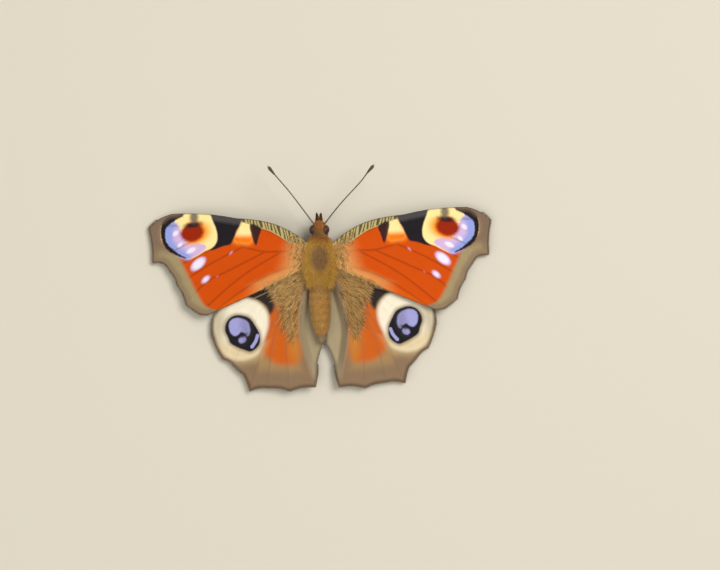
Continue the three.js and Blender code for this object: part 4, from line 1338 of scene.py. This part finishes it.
class MakeHead(bpy.types.Operator):
    """Models the eyes, palps, feelers and rolled tongue"""

    bl_idname = "butterfly.head"
    bl_label = "Head"

    def execute(self, context):
        c = context.scene.butterfly_colours
        eye = eye_finish()
        feeler = chitin_finish("feeler", c.chitin, c.horn, "ringed", 0.15)
        palp_skin = skin_finish("palp skin", c.bark, c.fur_rust, c.chitin)
        palp_fur = fur_finish("palp fur", c.bark, c.fur_rust, c.chitin)
        tongue_finish = chitin_finish("tongue", c.chitin, c.horn, "ringed")
        for seed, side in enumerate(SIDES):
            self.eye(side, eye)
            self.palp(side, palp_skin, palp_fur, 70 + 3 * seed)
            self.feeler(side, feeler)
        self.tongue(tongue_finish)
        return {"FINISHED"}

    def eye(self, side, material):
        """A ball as large as the solid eye, flattened a little behind."""
        low, high = (np.array(corner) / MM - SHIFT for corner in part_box(f"eye_{side}"))
        piece = start(f"eye_{side}_facets", bpy.ops.mesh.primitive_uv_sphere_add, segments=48, ring_count=32)
        ball = corners_of(piece)
        swell = 1 - 0.06 * ball[:, 1:2] * (ball[:, 1:2] > 0)
        nudge = np.array([-EYE_INWARDS * SIDES[side], EYE_REARWARDS, 0.0])
        settle(piece, (low + high) / 2 + nudge + ball * (high - low) / 2 * swell)
        dress(piece, "eye", [f"eye_{side}"], material)

    def palp(self, side, skin, fur, seed):
        """A curved palp that points ahead and up, with its own short fur."""
        sign = SIDES[side]
        path = [(0.15 + sign * 0.4, -6.2, 3.7), (0.17 + sign * 0.34, -7.3, 4.05),
                (0.19 + sign * 0.33, -8.1, 4.7), (0.19 + sign * 0.42, -8.65, 5.5)]
        piece, t, _ = rolled(f"palp_{side}_skin", path, PALP_RADII, 20, 50)
        keep_value(piece, "patch", 0.6 - 0.6 * t)
        dress(piece, "fur_thorax", [f"palp_{side}"], skin)
        places, outs = scatter(piece, 1300, seed)
        rng = np.random.default_rng(seed + 1)
        ahead = np.array(path[3]) - np.array(path[1])
        ahead = ahead / np.linalg.norm(ahead)
        wander = rng.normal(size=places.shape) * 0.22
        along = np.clip((places[:, 1] + 6.0) / -3.0, 0, 1)
        lengths = rng.uniform(0.25, 0.55, len(places)) * (1 - 0.55 * along)
        rise, lie = 0.7 * outs + ahead + wander, ahead + 0.1 * outs + 0.6 * wander
        half = np.full(len(places), 0.7 * millimetres("fur_half"))
        marks = {"patch": np.clip(0.6 - 0.6 * along + rng.normal(0, 0.2, len(places)), 0, 1)}
        coat = tufts(f"palp_{side}_fur", places, rise, lie, lengths, half, 0.8, limb_uv(outs, along), marks,
                     seed + 2)
        dress(coat, "fur_thorax", [], fur)

    def feeler(self, side, material):
        """A thin ringed feeler that ends in a pale-tipped club."""
        piece, t, total = rolled(f"antenna_{side}_rings", FEELERS[side], FEELER_RADII, 16, 260)
        rings = np.where((t < 0.86) & (np.cos(2 * math.pi * t * total / 0.42) > 0.7), 0.5, 0.0)
        keep_value(piece, "ringed", np.maximum(rings, smooth((t - 0.97) / 0.02)))
        dress(piece, "feeler", [f"antenna_{side}"], material)

    def tongue(self, material):
        """The tongue, rolled up under the face."""
        steps = 60
        angles = np.linspace(0, TONGUE_TURNS * 2 * math.pi, steps)
        radii = np.linspace(TONGUE_WIDE, TONGUE_NARROW, steps)
        x, y, z = TONGUE_MIDDLE
        path = [(x, y - r * math.cos(a), z + r * math.sin(a)) for a, r in zip(angles, radii)]
        piece, t, total = rolled("tongue_coil", path, TONGUE_RADII, 12, 200, flat=np.array([1.0, 0.0, 0.0]))
        keep_value(piece, "ringed", 0.25 * (np.cos(2 * math.pi * t * total / 0.12) > 0))
        dress(piece, "cuticle", ["tongue"], material)


class MakeLegs(bpy.types.Operator):
    """Models the two brush legs and the four walking legs with their scales"""

    bl_idname = "butterfly.legs"
    bl_label = "Legs"

    def execute(self, context):
        c = context.scene.butterfly_colours
        shell = chitin_finish("leg", c.chitin, c.horn, "ringed")
        scales = fur_finish("leg scales", c.fur_brown, c.border, c.chitin)
        for pair, joints in LEGS.items():
            for seed, side in enumerate(SIDES):
                self.leg(pair, side, joints, shell, scales, 80 + 7 * seed + len(pair))
        return {"FINISHED"}

    def leg(self, pair, side, joints, shell, scales, seed):
        """One leg, pale at its joints, with scales that lie along it."""
        path = [(SIDES[side] * x, y, z) for x, y, z in joints]
        if pair != "fore":
            radii, joint_at, rings, count, spread, shaggy = WALKING_RADII, WALKING_JOINTS, 120, 900, 0.35, 1.0
        else:
            radii, joint_at, rings, count, spread, shaggy = BRUSH_RADII, BRUSH_JOINTS, 50, 1100, 0.7, 2.6
        piece, t, _ = rolled(f"leg_{pair}_{side}_shell", path, radii, 14, rings)
        pale = np.max([0.5 * np.exp(-((t - at) / 0.008) ** 2) for at in joint_at], axis=0)
        keep_value(piece, "ringed", pale)
        dress(piece, "cuticle", [f"leg_{pair}_{side}"], shell)
        places, outs = scatter(piece, count, seed)
        rng = np.random.default_rng(seed)
        line = spline(path, 100)
        nearest = np.argmin(np.linalg.norm(places[:, None] - line[None], axis=2), axis=1)
        ahead = unit(line[np.minimum(nearest + 2, 99)] - line[np.maximum(nearest - 2, 0)])
        wander = rng.normal(size=places.shape) * 0.15
        lengths = rng.uniform(0.12, 0.3, count) * shaggy
        lengths = np.where(places[:, 2] < 0.3, 0.4 * lengths, lengths)
        marks = {"patch": np.clip(rng.normal(0.4, 0.25, count), 0, 1)}
        coat = tufts(f"leg_{pair}_{side}_scales", places, ahead + spread * outs + wander, ahead + wander,
                     lengths, np.full(count, 0.02), 0.8, limb_uv(outs, nearest / 100), marks, seed + 1)
        dress(coat, "cuticle", [], scales)


class MakeStage(bpy.types.Operator):
    """Lays the pale floor, the soft light and the camera"""

    bl_idname = "butterfly.stage"
    bl_label = "Stage"

    def execute(self, context):
        floor = start("floor", bpy.ops.mesh.primitive_plane_add, size=FLOOR_SIDE)
        material, _, shader = new_material("pale floor", 0.85, Specular_IOR_Level=0.2)
        shader.inputs["Base Color"].default_value = FLOOR_COLOUR
        floor.data.materials.append(material)
        self.lights()
        self.camera()
        return {"FINISHED"}

    def lights(self):
        """Soft lamps and a pale sky, in plain colours."""
        for name, place, side, power in LAMPS:
            bpy.ops.object.light_add(type="AREA", location=place)
            lamp = bpy.context.active_object
            lamp.name = name
            lamp.data.size = side
            lamp.data.energy = power
            lamp.rotation_euler = Vector(place).to_track_quat("Z", "Y").to_euler()
        bpy.context.scene.view_settings.view_transform = "Standard"
        world = bpy.data.worlds.new("soft light")
        world.use_nodes = True
        sky = world.node_tree.nodes["Background"]
        sky.inputs["Color"].default_value = SKY_COLOUR
        sky.inputs["Strength"].default_value = SKY_STRENGTH
        bpy.context.scene.world = world

    def camera(self):
        """Looks straight down, head upwards, framed as the photograph is."""
        across = (PICTURE_MIDDLE[0] - THORAX_IN_PICTURE[0]) / PIXELS_PER_MM
        down = (PICTURE_MIDDLE[1] - THORAX_IN_PICTURE[1]) / PIXELS_PER_MM
        place = np.array([-across, down, SCALE_LEVEL + CAMERA_HEIGHT]) + SHIFT
        bpy.ops.object.camera_add(location=place * MM)
        camera = bpy.context.active_object
        camera.name = "photo camera"
        camera.rotation_euler = (0, 0, math.pi)
        camera.data.sensor_width = SENSOR_WIDTH
        camera.data.lens = SENSOR_WIDTH * CAMERA_HEIGHT * PIXELS_PER_MM / PICTURE_WIDTH
        camera.data.clip_start = NEAREST_SEEN
        bpy.context.scene.camera = camera


class ButterflyPanel(bpy.types.Panel):
    """Sizes, colours and steps of the model"""

    bl_idname = "VIEW3D_PT_butterfly"
    bl_label = "Peacock butterfly"
    bl_space_type = "VIEW_3D"
    bl_region_type = "UI"
    bl_category = "Butterfly"

    def draw(self, context):
        for operator in OPERATORS:
            self.layout.operator(operator.bl_idname)
        for settings in (context.scene.butterfly_sizes, context.scene.butterfly_colours):
            for key in settings.bl_rna.properties.keys():
                if key not in ("rna_type", "name"):
                    self.layout.prop(settings, key)


OPERATORS = (MakeWings, MakeBody, MakeHead, MakeLegs, MakeStage)
CLASSES = (ButterflySizes, ButterflyColours, *OPERATORS, ButterflyPanel)


def register():
    """Adds the classes and the scene's settings."""
    for item in CLASSES:
        bpy.utils.register_class(item)
    bpy.types.Scene.butterfly_sizes = PointerProperty(type=ButterflySizes)
    bpy.types.Scene.butterfly_colours = PointerProperty(type=ButterflyColours)


def unregister():
    """Takes them away again."""
    del bpy.types.Scene.butterfly_colours
    del bpy.types.Scene.butterfly_sizes
    for item in reversed(CLASSES):
        bpy.utils.unregister_class(item)


def main():
    """Models the whole animal and its stage."""
    register()
    build_groups()
    bpy.ops.butterfly.wings()
    bpy.ops.butterfly.body()
    bpy.ops.butterfly.head()
    bpy.ops.butterfly.legs()
    bpy.ops.butterfly.stage()


if __name__ == "__main__":
    main()
